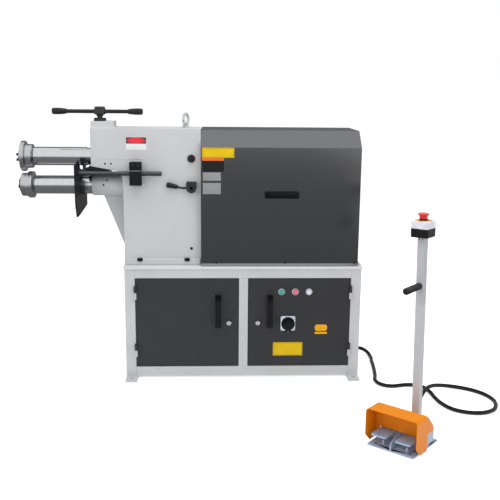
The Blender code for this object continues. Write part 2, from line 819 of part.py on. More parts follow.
def cam_lock(name, across, on):
    """A quarter turn lock: a head in front of the door, a shank through it and a cam, which stands open."""
    front = -LOCK_STAND_OUT
    head = rod(
        name,
        (across, front, LOCK_HEIGHT),
        (across, -SEAT_GAP, LOCK_HEIGHT),
        LOCK_RADIUS,
        chrome,
        on,
        SMALL_SIDES,
    )
    cam_front = POST_DEPTH + LOCK_CAM_BEHIND_POST
    shank = rod(
        name + "_shank",
        (across, front / 2, LOCK_HEIGHT),
        (across, cam_front + LOCK_CAM_THICKNESS / 2, LOCK_HEIGHT),
        LOCK_SHANK_RADIUS,
        chrome,
        on,
        SMALL_SIDES,
    )
    cam = block(
        name + "_cam",
        (across - LOCK_CAM_WIDTH / 2, cam_front, LOCK_HEIGHT - LOCK_CAM_WIDTH / 2),
        (across + LOCK_CAM_WIDTH / 2, cam_front + LOCK_CAM_THICKNESS, LOCK_HEIGHT + LOCK_CAM_LENGTH),
        chrome,
        on,
    )
    join(head, shank, cam)
    return head


def door(side, left, right, hinge_at, on):
    """A folded steel door with the upper halves of its lift off hinges."""
    hinge_toward_door = 1 if side == "left" else -1
    pan = block(f"door_{side}", (left, 0, DOOR_LOW), (right, DOOR_DEPTH, DOOR_HIGH), door_paint, on)
    cut(
        pan,
        block(
            f"door_inside_{side}",
            (left + SHEET, SHEET, DOOR_LOW + SHEET),
            (right - SHEET, DOOR_DEPTH + OVERRUN, DOOR_HIGH - SHEET),
            door_paint,
            on,
        ),
    )
    for height in (LOWER_HINGE_HEIGHT, UPPER_HINGE_HEIGHT):
        leaf_ends = sorted((hinge_at, hinge_at + hinge_toward_door * HINGE_LEAF_WIDTH))
        leaf = block(
            f"door_leaf_{side}_{height}",
            (leaf_ends[0], -HINGE_LEAF, height + SEAT_GAP),
            (leaf_ends[1], WELD_LAP, height + HINGE_HALF),
            door_paint,
            on,
        )
        door_edge = left if side == "left" else right
        lip_edges = sorted((door_edge, door_edge - hinge_toward_door * DOOR_GAP * 2))
        lip = block(
            f"door_lip_{side}_{height}",
            (lip_edges[0], -SEAT_GAP, height - OVERRUN),
            (lip_edges[1], WELD_LAP + OVERRUN, height + 2 * HINGE_HALF),
            door_paint,
            on,
        )
        cut(leaf, lip)
        barrel = rod(
            f"door_barrel_{side}_{height}",
            (hinge_at, -HINGE_STAND_OFF, height + SEAT_GAP),
            (hinge_at, -HINGE_STAND_OFF, height + HINGE_HALF),
            HINGE_RADIUS,
            door_paint,
            on,
            SMALL_SIDES,
        )
        bore = rod(
            f"door_bore_{side}_{height}",
            (hinge_at, -HINGE_STAND_OFF, height - OVERRUN),
            (hinge_at, -HINGE_STAND_OFF, height + HINGE_HALF + OVERRUN),
            HINGE_PIN_RADIUS + RUN_GAP,
            door_paint,
            on,
            SMALL_SIDES,
        )
        join(pan, leaf, barrel)
        cut(pan, bore)
    return pan


def doors(on):
    """Both doors, each on an empty on its hinge pin's axis, with its handle, lock and controls."""
    lock_hole = LOCK_SHANK_RADIUS + RUN_GAP
    left_hinge = POST_WIDTH + HINGE_INTO_DOOR_GAP
    left_axis = frame_empty("left_door_axis", (left_hinge, -HINGE_STAND_OFF, DOOR_LOW), on)
    left_pan = door("left", POST_WIDTH + DOOR_GAP, CENTRE_POST_LEFT - DOOR_GAP, left_hinge, left_axis)
    bridge_handle(
        "door_handle_left",
        (CENTRE_POST_LEFT - LEFT_HANDLE_FROM_POST, HANDLE_MIDDLE_HEIGHT),
        True,
        0,
        left_axis,
    )
    left_lock_x = CENTRE_POST_LEFT - LOCK_FROM_POST
    left_lock_axis = frame_empty("left_lock_axis", (left_lock_x, 0, LOCK_HEIGHT), left_axis)
    cam_lock("cam_lock_left", left_lock_x, left_lock_axis)
    right_hinge = CABINET_WIDTH - POST_WIDTH - HINGE_INTO_DOOR_GAP
    right_axis = frame_empty("right_door_axis", (right_hinge, -HINGE_STAND_OFF, DOOR_LOW), on)
    right_pan = door(
        "right", CENTRE_POST_RIGHT + DOOR_GAP, CABINET_WIDTH - POST_WIDTH - DOOR_GAP, right_hinge, right_axis
    )
    bridge_handle(
        "door_handle_right",
        (CENTRE_POST_RIGHT + RIGHT_HANDLE_FROM_POST, HANDLE_MIDDLE_HEIGHT),
        True,
        0,
        right_axis,
    )
    right_lock_x = CENTRE_POST_RIGHT + LOCK_FROM_POST
    right_lock_axis = frame_empty("right_lock_axis", (right_lock_x, 0, LOCK_HEIGHT), right_axis)
    cam_lock("cam_lock_right", right_lock_x, right_lock_axis)
    for pan, across in ((left_pan, left_lock_x), (right_pan, right_lock_x)):
        cut(pan, through_hole(across, LOCK_HEIGHT, lock_hole, right_axis))
    for index, (name, material) in enumerate((("start_button", green), ("stop_button", red))):
        across = START_BUTTON_X + index * BUTTON_PITCH
        axis = frame_empty(name + "_axis", (across, 0, BUTTON_HEIGHT), right_axis)
        rod(
            name,
            (across, -BUTTON_STAND_OUT, BUTTON_HEIGHT),
            (across, BUTTON_SHANK, BUTTON_HEIGHT),
            BUTTON_RADIUS,
            material,
            axis,
            SMALL_SIDES + SMALL_SIDES // 2,
        )
        cut(right_pan, through_hole(across, BUTTON_HEIGHT, BUTTON_RADIUS + RUN_GAP, right_axis))
    lamp_x = START_BUTTON_X + 2 * BUTTON_PITCH
    lamp = rod(
        "power_lamp",
        (lamp_x, -BUTTON_STAND_OUT, BUTTON_HEIGHT),
        (lamp_x, BUTTON_SHANK, BUTTON_HEIGHT),
        BUTTON_RADIUS,
        white_plastic,
        right_axis,
        SMALL_SIDES + SMALL_SIDES // 2,
    )
    plate_half = SWITCH_RADIUS + OVERRUN
    plate = block(
        "main_switch_plate",
        (SWITCH_X - plate_half, -SWITCH_PLATE, SWITCH_HEIGHT - plate_half),
        (SWITCH_X + plate_half, WELD_LAP, SWITCH_HEIGHT + plate_half),
        steel,
        right_axis,
    )
    join(right_pan, lamp, plate)
    switch_axis = frame_empty("main_switch_axis", (SWITCH_X, 0, SWITCH_HEIGHT), right_axis)
    knob = rod(
        "main_switch_knob",
        (SWITCH_X, -SWITCH_STAND_OUT, SWITCH_HEIGHT),
        (SWITCH_X, -SWITCH_PLATE - SEAT_GAP, SWITCH_HEIGHT),
        SWITCH_RADIUS,
        black_plastic,
        switch_axis,
    )
    join(
        knob,
        rod(
            "switch_shank",
            (SWITCH_X, -SWITCH_STAND_OUT / 2, SWITCH_HEIGHT),
            (SWITCH_X, BUTTON_SHANK, SWITCH_HEIGHT),
            SWITCH_SHANK_RADIUS,
            black_plastic,
            switch_axis,
            SMALL_SIDES,
        ),
    )
    cut(right_pan, through_hole(SWITCH_X, SWITCH_HEIGHT, SWITCH_SHANK_RADIUS + RUN_GAP, right_axis))


def through_hole(across, height, radius, on):
    """A round cutter through a door."""
    return rod(
        f"door_hole_{across:.4f}_{height:.4f}",
        (across, -SWITCH_STAND_OUT, height),
        (across, DOOR_DEPTH + OVERRUN, height),
        radius,
        steel,
        on,
        SMALL_SIDES + SMALL_SIDES // 2,
    )


def electrical_panel(on):
    """The plate in the right compartment, with the drive unit, the contactor and the transformer on it.

    The units' widths and heights are shares of the plate's, and so is the margin round them.
    """
    back = CABINET_DEPTH - SHEET - SEAT_GAP
    front = back - PANEL_THICKNESS
    left = CENTRE_POST_RIGHT + PANEL_FROM_CENTRE_POST
    right = CABINET_WIDTH - SHEET - PANEL_FROM_SIDE_PANEL
    high = CABINET_TOP - PANEL_UNDER_CABINET_TOP
    width = right - left
    height = high - PANEL_FOOT
    margin = width * UNIT_MARGIN_SHARE
    panel = block("electrical_panel", (left, front, PANEL_FOOT), (right, back, high), zinc, on)
    units = (
        ("drive_unit", DRIVE_UNIT_SHARES, DRIVE_UNIT_DEPTH, left + margin, high - margin),
        (
            "contactor",
            CONTACTOR_SHARES,
            CONTACTOR_DEPTH,
            left + width * DRIVE_UNIT_SHARES[0] + 2 * margin,
            high - margin,
        ),
        (
            "transformer",
            TRANSFORMER_SHARES,
            TRANSFORMER_DEPTH,
            left + width * DRIVE_UNIT_SHARES[0] + 2 * margin,
            PANEL_FOOT + margin + height * TRANSFORMER_SHARES[1],
        ),
    )
    for name, (width_share, height_share), depth, unit_left, unit_high in units:
        unit = block(
            name,
            (unit_left, front - depth, unit_high - height * height_share),
            (unit_left + width * width_share, front + PANEL_THICKNESS / 2, unit_high),
            zinc,
            on,
        )
        join(panel, unit)


def frame_outline():
    """The side of the machine frame in (X, Z): the column, the throat's corner and the arm over it."""
    corner = LOWER_SHAFT_HEIGHT + HOUSING_RADIUS
    return [
        (0, FRAME_LOW),
        (FRAME_RIGHT, FRAME_LOW),
        (FRAME_RIGHT, FRAME_TOP),
        (ARM_LEFT, FRAME_TOP),
        (ARM_LEFT, ARM_LOW_LEFT),
        (THROAT_X, ARM_LOW_RIGHT),
        (-THROAT_CORNER_DROP, ARM_LOW_RIGHT - THROAT_CORNER_DROP / 2),
        (-THROAT_CORNER_DROP / 2, corner),
        (0, corner - COLUMN_SHOULDER),
    ]


def upright_outline(width, high):
    """An oblong in (Y, Z) that stands on the table."""
    return [(width[0], FRAME_LOW), (width[1], FRAME_LOW), (width[1], high), (width[0], high)]


def machine_frame(on):
    """Front and rear plates, and the plates welded between them."""
    trunnion = circle(TRUNNION_X, UPPER_SHAFT_HEIGHT, TRUNNION_PIN_RADIUS + RUN_GAP, SMALL_SIDES)
    lever_hole = circle(TRUNNION_X, LOWER_SHAFT_HEIGHT, LEVER_SHANK_RADIUS + RUN_GAP, SMALL_SIDES)
    for name, middle, holes in (
        ("frame_front_plate", FRAME_FRONT + FRAME_PLATE / 2, (trunnion, lever_hole)),
        ("frame_rear_plate", FRAME_BACK - FRAME_PLATE / 2, (trunnion,)),
    ):
        flat(name, frame_outline(), "Y", middle, FRAME_PLATE, frame_paint, on, holes)
    roof_low = FRAME_TOP - FRAME_PLATE
    roof = block(
        "frame_top_plate",
        (ARM_LEFT, FRAME_INSIDE_FRONT, roof_low),
        (FRAME_RIGHT, FRAME_INSIDE_BACK, FRAME_TOP),
        frame_paint,
        on,
    )
    raised_left = ARM_LEFT - RAISED_BLOCK_OVERHANG
    raised = block(
        "raised_block",
        (raised_left, SHAFT_Y - RAISED_BLOCK_DEPTH / 2, FRAME_TOP - FRAME_PLATE / 2),
        (raised_left + RAISED_BLOCK_WIDTH, SHAFT_Y + RAISED_BLOCK_DEPTH / 2, FRAME_TOP + RAISED_BLOCK_HEIGHT),
        frame_paint,
        on,
    )
    screw_hole = rod(
        "raised_block_hole",
        (SCREW_X, SHAFT_Y, roof_low - OVERRUN),
        (SCREW_X, SHAFT_Y, FRAME_TOP + RAISED_BLOCK_HEIGHT + OVERRUN),
        SCREW_RADIUS + RUN_GAP,
        frame_paint,
        on,
    )
    join(roof, raised)
    cut(roof, screw_hole)
    width = (FRAME_INSIDE_FRONT, FRAME_INSIDE_BACK)
    flat(
        "frame_bearing_plate",
        upright_outline(width, roof_low - SEAT_GAP),
        "X",
        FRAME_RIGHT - FRAME_PLATE / 2,
        FRAME_PLATE,
        frame_paint,
        on,
        (circle(SHAFT_Y, LOWER_SHAFT_HEIGHT, REAR_BEARING_RADIUS + SEAT_GAP),),
    )
    bore = HOUSING_RADIUS - HOUSING_WALL
    flat(
        "frame_throat_plate",
        upright_outline(width, LOWER_SHAFT_HEIGHT + HOUSING_RADIUS - THROAT_CORNER_DROP / 2),
        "X",
        SEAT_GAP + FRAME_PLATE / 2,
        FRAME_PLATE,
        frame_paint,
        on,
        (circle(SHAFT_Y, LOWER_SHAFT_HEIGHT, bore),),
    )
    half = HOUSING_LENGTH / 2
    housing = turned(
        "lower_shaft_housing",
        [(HOUSING_RADIUS, half), (HOUSING_RADIUS, -half), (bore, -half), (bore, half)],
        (-half, SHAFT_Y, LOWER_SHAFT_HEIGHT),
        (1, 0, 0),
        frame_paint,
        on,
        closed=True,
    )
    gusset = flat(
        "gusset",
        [
            (-GUSSET_REACH, LOWER_SHAFT_HEIGHT - HOUSING_RADIUS + WELD_LAP * 2),
            (0, LOWER_SHAFT_HEIGHT - HOUSING_RADIUS + WELD_LAP * 2),
            (0, FRAME_LOW + GUSSET_FOOT_OVER_TABLE),
        ],
        "Y",
        SHAFT_Y,
        GUSSET_THICKNESS,
        frame_paint,
        on,
    )
    join(housing, gusset)


def shaft_profile(right_end, middle):
    """A shaft's (radius, along) profile from its right end to its nose, measured from a middle point."""
    return [
        (0, right_end - middle),
        (SHAFT_INNER_RADIUS - SHAFT_END_CHAMFER, right_end - middle),
        (SHAFT_INNER_RADIUS, right_end - SHAFT_END_CHAMFER - middle),
        (SHAFT_INNER_RADIUS, SHAFT_STEP_X - middle),
        (SHAFT_RADIUS, SHAFT_STEP_X - middle),
        (SHAFT_RADIUS, ROLL_RIGHT + SEAT_GAP - middle),
        (SHAFT_NOSE_RADIUS, ROLL_RIGHT + SEAT_GAP - middle),
        (SHAFT_NOSE_RADIUS, SHAFT_NOSE_LEFT - middle),
        (0, SHAFT_NOSE_LEFT - middle),
    ]


def roll(name, left, shoulder, chamfer, first, second, height, on):
    """A roll of two steps, with its bore and the cap that three screws hold over the shaft's nose."""
    bore = SHAFT_NOSE_RADIUS + RUN_GAP
    outside = [
        (SHAFT_RADIUS, ROLL_RIGHT),
        (second, ROLL_STEP_RIGHT),
        (second, shoulder + chamfer),
        (first, shoulder),
        (first, left + ROLL_EDGE),
        (first - ROLL_EDGE, left),
    ]
    profile = [(radius, along - left) for radius, along in outside + [(bore, left), (bore, ROLL_RIGHT)]]
    made = turned(
        name, profile, (left, SHAFT_Y, height), (1, 0, 0), tool_steel, on, closed=True, sides=FINE_SIDES
    )
    cap_left = left - ROLL_CAP_THICKNESS
    cap = rod(
        name + "_cap",
        (cap_left, SHAFT_Y, height),
        (left + WELD_LAP, SHAFT_Y, height),
        ROLL_CAP_RADIUS,
        black_steel,
        on,
    )
    join(made, cap)
    for index in range(ROLL_SCREW_COUNT):
        turn = math.pi / 2 + 2 * math.pi * index / ROLL_SCREW_COUNT
        screw_y = SHAFT_Y + ROLL_SCREW_CIRCLE * math.cos(turn)
        screw_z = height + ROLL_SCREW_CIRCLE * math.sin(turn)
        screw = rod(
            f"{name}_screw_{index}",
            (cap_left - ROLL_SCREW_HEAD, screw_y, screw_z),
            (cap_left + WELD_LAP, screw_y, screw_z),
            ROLL_SCREW_RADIUS,
            black_steel,
            on,
            SMALL_SIDES,
        )
        join(made, screw)
    return made


def gear_outline(height):
    """Involute teeth about (SHAFT_Y, height), in (Y, Z). A tooth points up; an odd count has a gap below."""
    pitch_radius = SHAFT_SPACING / 2
    module = 2 * pitch_radius / GEAR_TEETH
    base = pitch_radius * math.cos(PRESSURE_ANGLE)
    tip = pitch_radius + GEAR_ADDENDUM_SHARE * module
    root = pitch_radius - GEAR_DEDENDUM_SHARE * module
    half_tooth = GEAR_TOOTH_SHARE * math.pi / GEAR_TEETH
    pitch_roll = math.tan(PRESSURE_ANGLE) - PRESSURE_ANGLE

    def half_angle(radius):
        angle = math.acos(min(1, base / radius))
        return half_tooth + pitch_roll - (math.tan(angle) - angle)

    flank = [root, base, pitch_radius, (pitch_radius + tip) / 2, tip]
    points = []
    for tooth in range(GEAR_TEETH):
        middle = math.pi / 2 + 2 * math.pi * tooth / GEAR_TEETH
        sides = [(radius, -half_angle(max(radius, base))) for radius in flank]
        sides += [(radius, -turn) for radius, turn in reversed(sides)]
        for radius, turn in sides:
            angle = middle + turn
            points.append((SHAFT_Y + radius * math.cos(angle), height + radius * math.sin(angle)))
    return points


def gear(name, height, on):
    """A spur gear on its shaft."""
    return flat(
        name,
        gear_outline(height),
        "X",
        GEAR_X + GEAR_WIDTH / 2,
        GEAR_WIDTH,
        gear_steel,
        on,
        (circle(SHAFT_Y, height, SHAFT_INNER_RADIUS + RUN_GAP),),
    )


def lower_shaft(on):
    """The driven shaft with its roll, gear and coupling, and the bearings that hold it."""
    height = LOWER_SHAFT_HEIGHT
    axis = frame_empty("lower_shaft_axis", (0, SHAFT_Y, height), on)
    turned("lower_shaft", shaft_profile(COUPLING_MIDDLE, 0), (0, SHAFT_Y, height), (1, 0, 0), polished, axis)
    roll(
        "lower_roll",
        LOWER_ROLL_LEFT,
        LOWER_ROLL_SHOULDER,
        0,
        LOWER_NOSE_RADIUS,
        LOWER_RIM_RADIUS,
        height,
        axis,
    )
    gear("lower_gear", height, axis)
    bore = SHAFT_INNER_RADIUS + RUN_GAP
    length = COUPLING_LENGTH
    pocket = length / 2 + OVERRUN / 2
    turned(
        "drive_coupling",
        [
            (COUPLING_RADIUS, length / 2),
            (COUPLING_RADIUS, -length / 2),
            (bore, -length / 2),
            (bore, pocket - length / 2),
            (0, pocket - length / 2),
            (0, length / 2 + STUB_LENGTH),
            (STUB_RADIUS, length / 2 + STUB_LENGTH),
            (STUB_RADIUS, length / 2),
        ],
        (COUPLING_MIDDLE, SHAFT_Y, height),
        (1, 0, 0),
        gear_steel,
        axis,
        closed=True,
    )
    inside = SHAFT_RADIUS + RUN_GAP
    outside = HOUSING_RADIUS - HOUSING_WALL - SEAT_GAP
    half = FRONT_BUSH_LENGTH / 2
    turned(
        "lower_front_bush",
        [(outside, half), (outside, -half), (inside, -half), (inside, half)],
        (-HOUSING_LENGTH + half, SHAFT_Y, height),
        (1, 0, 0),
        bronze,
        on,
        closed=True,
    )
    half = REAR_BEARING_LENGTH / 2
    turned(
        "lower_rear_bearing",
        [(REAR_BEARING_RADIUS, half), (REAR_BEARING_RADIUS, -half), (bore, -half), (bore, half)],
        (FRAME_RIGHT - FRAME_PLATE / 2, SHAFT_Y, height),
        (1, 0, 0),
        gear_steel,
        on,
        closed=True,
    )


def upper_shaft(on):
    """The upper shaft. It turns in a carrier that tilts on two pins, so that the screw can lift its roll."""
    height = UPPER_SHAFT_HEIGHT
    tilt = frame_empty("upper_shaft_tilt_axis", (TRUNNION_X, SHAFT_Y, height), on)
    spin = frame_empty("upper_shaft_axis", (0, SHAFT_Y, height), tilt)
    right_end = TRUNNION_X + CARRIER_WIDTH / 2
    turned("upper_shaft", shaft_profile(right_end, 0), (0, SHAFT_Y, height), (1, 0, 0), polished, spin)
    roll(
        "upper_roll",
        UPPER_ROLL_LEFT,
        UPPER_ROLL_SHOULDER,
        ROLL_CHAMFER,
        UPPER_RIM_RADIUS,
        UPPER_STEP_RADIUS,
        height,
        spin,
    )
    gear("upper_gear", height, spin)
    carrier = block(
        "upper_shaft_carrier",
        (TRUNNION_X - CARRIER_WIDTH / 2, FRAME_INSIDE_FRONT + CARRIER_SIDE_GAP, height - CARRIER_HEIGHT / 2),
        (TRUNNION_X + CARRIER_WIDTH / 2, FRAME_INSIDE_BACK - CARRIER_SIDE_GAP, height + CARRIER_HEIGHT / 2),
        cast_grey,
        tilt,
    )
    pins = rod(
        "trunnion_pins",
        (TRUNNION_X, FRAME_FRONT + SEAT_GAP, height),
        (TRUNNION_X, FRAME_BACK - SEAT_GAP, height),
        TRUNNION_PIN_RADIUS,
        cast_grey,
        tilt,
        SMALL_SIDES,
    )
    shaft_bore = rod(
        "carrier_bore",
        (TRUNNION_X - CARRIER_WIDTH, SHAFT_Y, height),
        (TRUNNION_X + CARRIER_WIDTH, SHAFT_Y, height),
        SHAFT_INNER_RADIUS + RUN_GAP,
        cast_grey,
        tilt,
    )
    join(carrier, pins)
    cut(carrier, shaft_bore)
    half = BALL_LENGTH / 2
    reach = math.asin(half / BALL_RADIUS)
    arc = [reach * (1 - step / 2) for step in range(5)]
    ball = [(BALL_RADIUS * math.cos(turn), BALL_RADIUS * math.sin(turn)) for turn in arc]
    inside = SHAFT_RADIUS + RUN_GAP
    turned(
        "upper_front_bush",
        ball + [(inside, -half), (inside, half)],
        (SCREW_X, SHAFT_Y, height),
        (1, 0, 0),
        bronze,
        tilt,
        closed=True,
    )


def pressure_screw(on):
    """The sliding bearing block in the arm, and the screw with the T handle that lifts and lowers it."""
    height = UPPER_SHAFT_HEIGHT
    slide = frame_empty("bearing_block_axis", (SCREW_X, SHAFT_Y, height), on)
    left = BEARING_BLOCK_LEFT
    right = BEARING_BLOCK_LEFT + BEARING_BLOCK_WIDTH
    top = height + BEARING_BLOCK_RISE
    bottom = height - BEARING_BLOCK_DROP
    front, back = FRAME_INSIDE_FRONT, FRAME_INSIDE_BACK
    bearing = block("front_bearing_block", (left, front, bottom), (right, back, top), black_steel, slide)
    keeper_low = height - KEEPER_LOW
    keeper = block(
        "keeper_plate",
        (left - KEEPER_REACH, front, keeper_low),
        (right, back, keeper_low + KEEPER_THICKNESS),
        black_steel,
        slide,
    )
    ball_bore = rod(
        "ball_bore",
        (left - KEEPER_REACH - OVERRUN, SHAFT_Y, height),
        (right + OVERRUN, SHAFT_Y, height),
        BALL_RADIUS + RUN_GAP,
        black_steel,
        slide,
        FINE_SIDES,
    )
    pocket = rod(
        "screw_pocket",
        (SCREW_X, SHAFT_Y, top - SCREW_POCKET),
        (SCREW_X, SHAFT_Y, top + OVERRUN),
        SCREW_RADIUS + RUN_GAP,
        black_steel,
        slide,
    )
    join(bearing, keeper)
    cut(bearing, ball_bore, pocket)
    nut_low = FRAME_TOP + RAISED_BLOCK_HEIGHT + SEAT_GAP
    nut_high = nut_low + SCREW_NUT_HEIGHT
    inside = SCREW_RADIUS + RUN_GAP
    turned(
        "screw_nut",
        [
            (SCREW_NUT_RADIUS - ROLL_EDGE, SCREW_NUT_HEIGHT),
            (SCREW_NUT_RADIUS, SCREW_NUT_HEIGHT - ROLL_EDGE),
            (SCREW_NUT_RADIUS, 0),
            (inside, 0),
            (inside, SCREW_NUT_HEIGHT),
        ],
        (SCREW_X, SHAFT_Y, nut_low),
        (0, 0, 1),
        black_steel,
        on,
        closed=True,
    )
    handle = frame_empty("t_handle_axis", (SCREW_X, SHAFT_Y, nut_high), slide)
    screw_low = top - SCREW_POCKET + SEAT_GAP
    neck = nut_high + NECK_GAP
    hub_top = neck + HUB_HEIGHT
    profile = [
        (0, hub_top),
        (HUB_RADIUS - ROLL_EDGE, hub_top),
        (HUB_RADIUS, hub_top - ROLL_EDGE),
        (HUB_RADIUS, neck + HUB_CONE),
        (NECK_RADIUS, neck + OVERRUN),
        (NECK_RADIUS, neck),
        (SCREW_RADIUS, neck),
        (SCREW_RADIUS, screw_low),
        (0, screw_low),
    ]
    screw = turned(
        "pressure_screw",
        [(radius, along - nut_high) for radius, along in profile],
        (SCREW_X, SHAFT_Y, nut_high),
        (0, 0, 1),
        black_steel,
        handle,
    )
    bar_height = (neck + HUB_CONE + hub_top) / 2
    bar_middle = SCREW_X + T_BAR_SHIFT
    bar_left = bar_middle - T_BAR_LENGTH / 2
    bar_right = bar_middle + T_BAR_LENGTH / 2
    cross_hole = rod(
        "cross_hole",
        (SCREW_X - 2 * HUB_RADIUS, SHAFT_Y, bar_height),
        (SCREW_X + 2 * HUB_RADIUS, SHAFT_Y, bar_height),
        T_BAR_RADIUS + RUN_GAP,
        black_steel,
        handle,
    )
    cut(screw, cross_hole)
    bar = rod(
        "t_bar",
        (bar_left + OVERRUN, SHAFT_Y, bar_height),
        (bar_right - OVERRUN, SHAFT_Y, bar_height),
        T_BAR_RADIUS,
        black_steel,
        handle,
        SMALL_SIDES + SMALL_SIDES // 2,
    )
    for side, end, way in (("left", bar_left, 1), ("right", bar_right, -1)):
        grip = rod(
            "t_grip_" + side,
            (end, SHAFT_Y, bar_height),
            (end + way * GRIP_LENGTH, SHAFT_Y, bar_height),
            GRIP_RADIUS,
            black_plastic,
            handle,
            SMALL_SIDES + SMALL_SIDES // 2,
        )
        join(bar, grip)


def drive(on):
    """The gear motor under the cover, on its stand on the table."""
    low = LOWER_SHAFT_HEIGHT + GEARBOX_ABOVE_SHAFT - GEARBOX_SIZE[2]
    gearbox = block(
        "gearbox",
        (GEARBOX_LEFT, SHAFT_Y - GEARBOX_SIZE[1] / 2, low),
        (GEARBOX_LEFT + GEARBOX_SIZE[0], SHAFT_Y + GEARBOX_SIZE[1] / 2, low + GEARBOX_SIZE[2]),
        cast_grey,
        on,
    )
    rounded(gearbox, GEARBOX_BEVEL)
    cut(
        gearbox,
        rod(
            "output_bore",
            (GEARBOX_LEFT - OVERRUN, SHAFT_Y, LOWER_SHAFT_HEIGHT),
            (COUPLING_LEFT + COUPLING_LENGTH + STUB_LENGTH + OVERRUN, SHAFT_Y, LOWER_SHAFT_HEIGHT),
            STUB_RADIUS + RUN_GAP,
            cast_grey,
            on,
        ),
    )
    rod(
        "motor",
        (MOTOR_LEFT, SHAFT_Y, LOWER_SHAFT_HEIGHT),
        (MOTOR_LEFT + MOTOR_LENGTH, SHAFT_Y, LOWER_SHAFT_HEIGHT),
        MOTOR_RADIUS,
        cast_grey,
        on,
    )
    stand_high = low - SEAT_GAP
    front, back = SHAFT_Y - STAND_WIDTH / 2, SHAFT_Y + STAND_WIDTH / 2
    flat(
        "drive_stand",
        [
            (front, FRAME_LOW),
            (front + STAND_WALL, FRAME_LOW),
            (front + STAND_WALL, stand_high - STAND_WALL),
            (back - STAND_WALL, stand_high - STAND_WALL),
            (back - STAND_WALL, FRAME_LOW),
            (back, FRAME_LOW),
            (back, stand_high),
            (front, stand_high),
        ],
        "X",
        GEARBOX_LEFT + STAND_LENGTH / 2,
        STAND_LENGTH,
        frame_paint,
        on,
    )


def cover_outline(inset, low):
    """The cover's section in (Y, Z), with its shoulders sloped at the front and the back."""
    front = COVER_SETBACK + inset
    back = COVER_SETBACK + COVER_DEPTH - inset
    drop = inset * (COVER_TOP - COVER_SHOULDER) / COVER_CHAMFER / 2
    return [
        (front, low),
        (back, low),
        (back, COVER_SHOULDER - drop),
        (back - COVER_CHAMFER + inset / 2, COVER_TOP - inset),
        (front + COVER_CHAMFER - inset / 2, COVER_TOP - inset),
        (front, COVER_SHOULDER - drop),
    ]


def drive_cover(on):
    """The folded sheet cover over the drive, open below, with a window in its left end for the shaft."""
    left = FRAME_RIGHT + SEAT_GAP
    length = COVER_RIGHT - left
    middle = left + length / 2
    cover = flat("drive_cover", cover_outline(0, FRAME_LOW), "X", middle, length, door_paint, on)
    inside = flat(
        "cover_inside",
        cover_outline(COVER_SHEET, FRAME_LOW - OVERRUN),
        "X",
        middle,
        length - 2 * COVER_SHEET,
        door_paint,
        on,
    )
    window = block(
        "cover_window",
        (left - OVERRUN, FRAME_FRONT + COVER_WINDOW_MARGIN, LOWER_SHAFT_HEIGHT - COVER_WINDOW_HEIGHT / 2),
        (left + OVERRUN, FRAME_BACK - COVER_WINDOW_MARGIN, LOWER_SHAFT_HEIGHT + COVER_WINDOW_HEIGHT / 2),
        door_paint,
        on,
    )
    cut(cover, inside, window)
    bridge_handle("cover_handle", (COVER_HANDLE_X, COVER_HANDLE_HEIGHT), False, COVER_SETBACK, on)


def eye_bolt(on):
    """A lifting eye screwed into the frame's top plate."""
    ring_height = FRAME_TOP + SEAT_GAP + EYE_COLLAR_HEIGHT + EYE_RADIUS + EYE_WIRE / 2
    collar = rod(
        "eye_bolt",
        (EYE_X, SHAFT_Y, FRAME_TOP + SEAT_GAP),
        (EYE_X, SHAFT_Y, FRAME_TOP + SEAT_GAP + EYE_COLLAR_HEIGHT),
        EYE_COLLAR_RADIUS,
        zinc,
        on,
        SMALL_SIDES,
    )
    turns = [2 * math.pi * step / ROUND_SIDES for step in range(ROUND_SIDES)]
    ring_curve = bpy.data.curves.new("eye_ring", "CURVE")
    ring_curve.dimensions = "3D"
    ring_curve.bevel_depth = EYE_WIRE
    ring_curve.bevel_resolution = 2
    spline = ring_curve.splines.new("POLY")
    spline.points.add(len(turns) - 1)
    for point, turn in zip(spline.points, turns):
        across = EYE_RADIUS * math.cos(turn)
        point.co = (across * math.cos(EYE_TURN), across * math.sin(EYE_TURN), EYE_RADIUS * math.sin(turn), 1)
    spline.use_cyclic_u = True
    ring_curve.materials.append(zinc)
    ring = bpy.data.objects.new("eye_ring", ring_curve)
    parts.objects.link(ring)
    ring.parent = on
    ring.location = Vector((EYE_X, SHAFT_Y, ring_height)) - places[on]
    join(collar, meshed(ring))


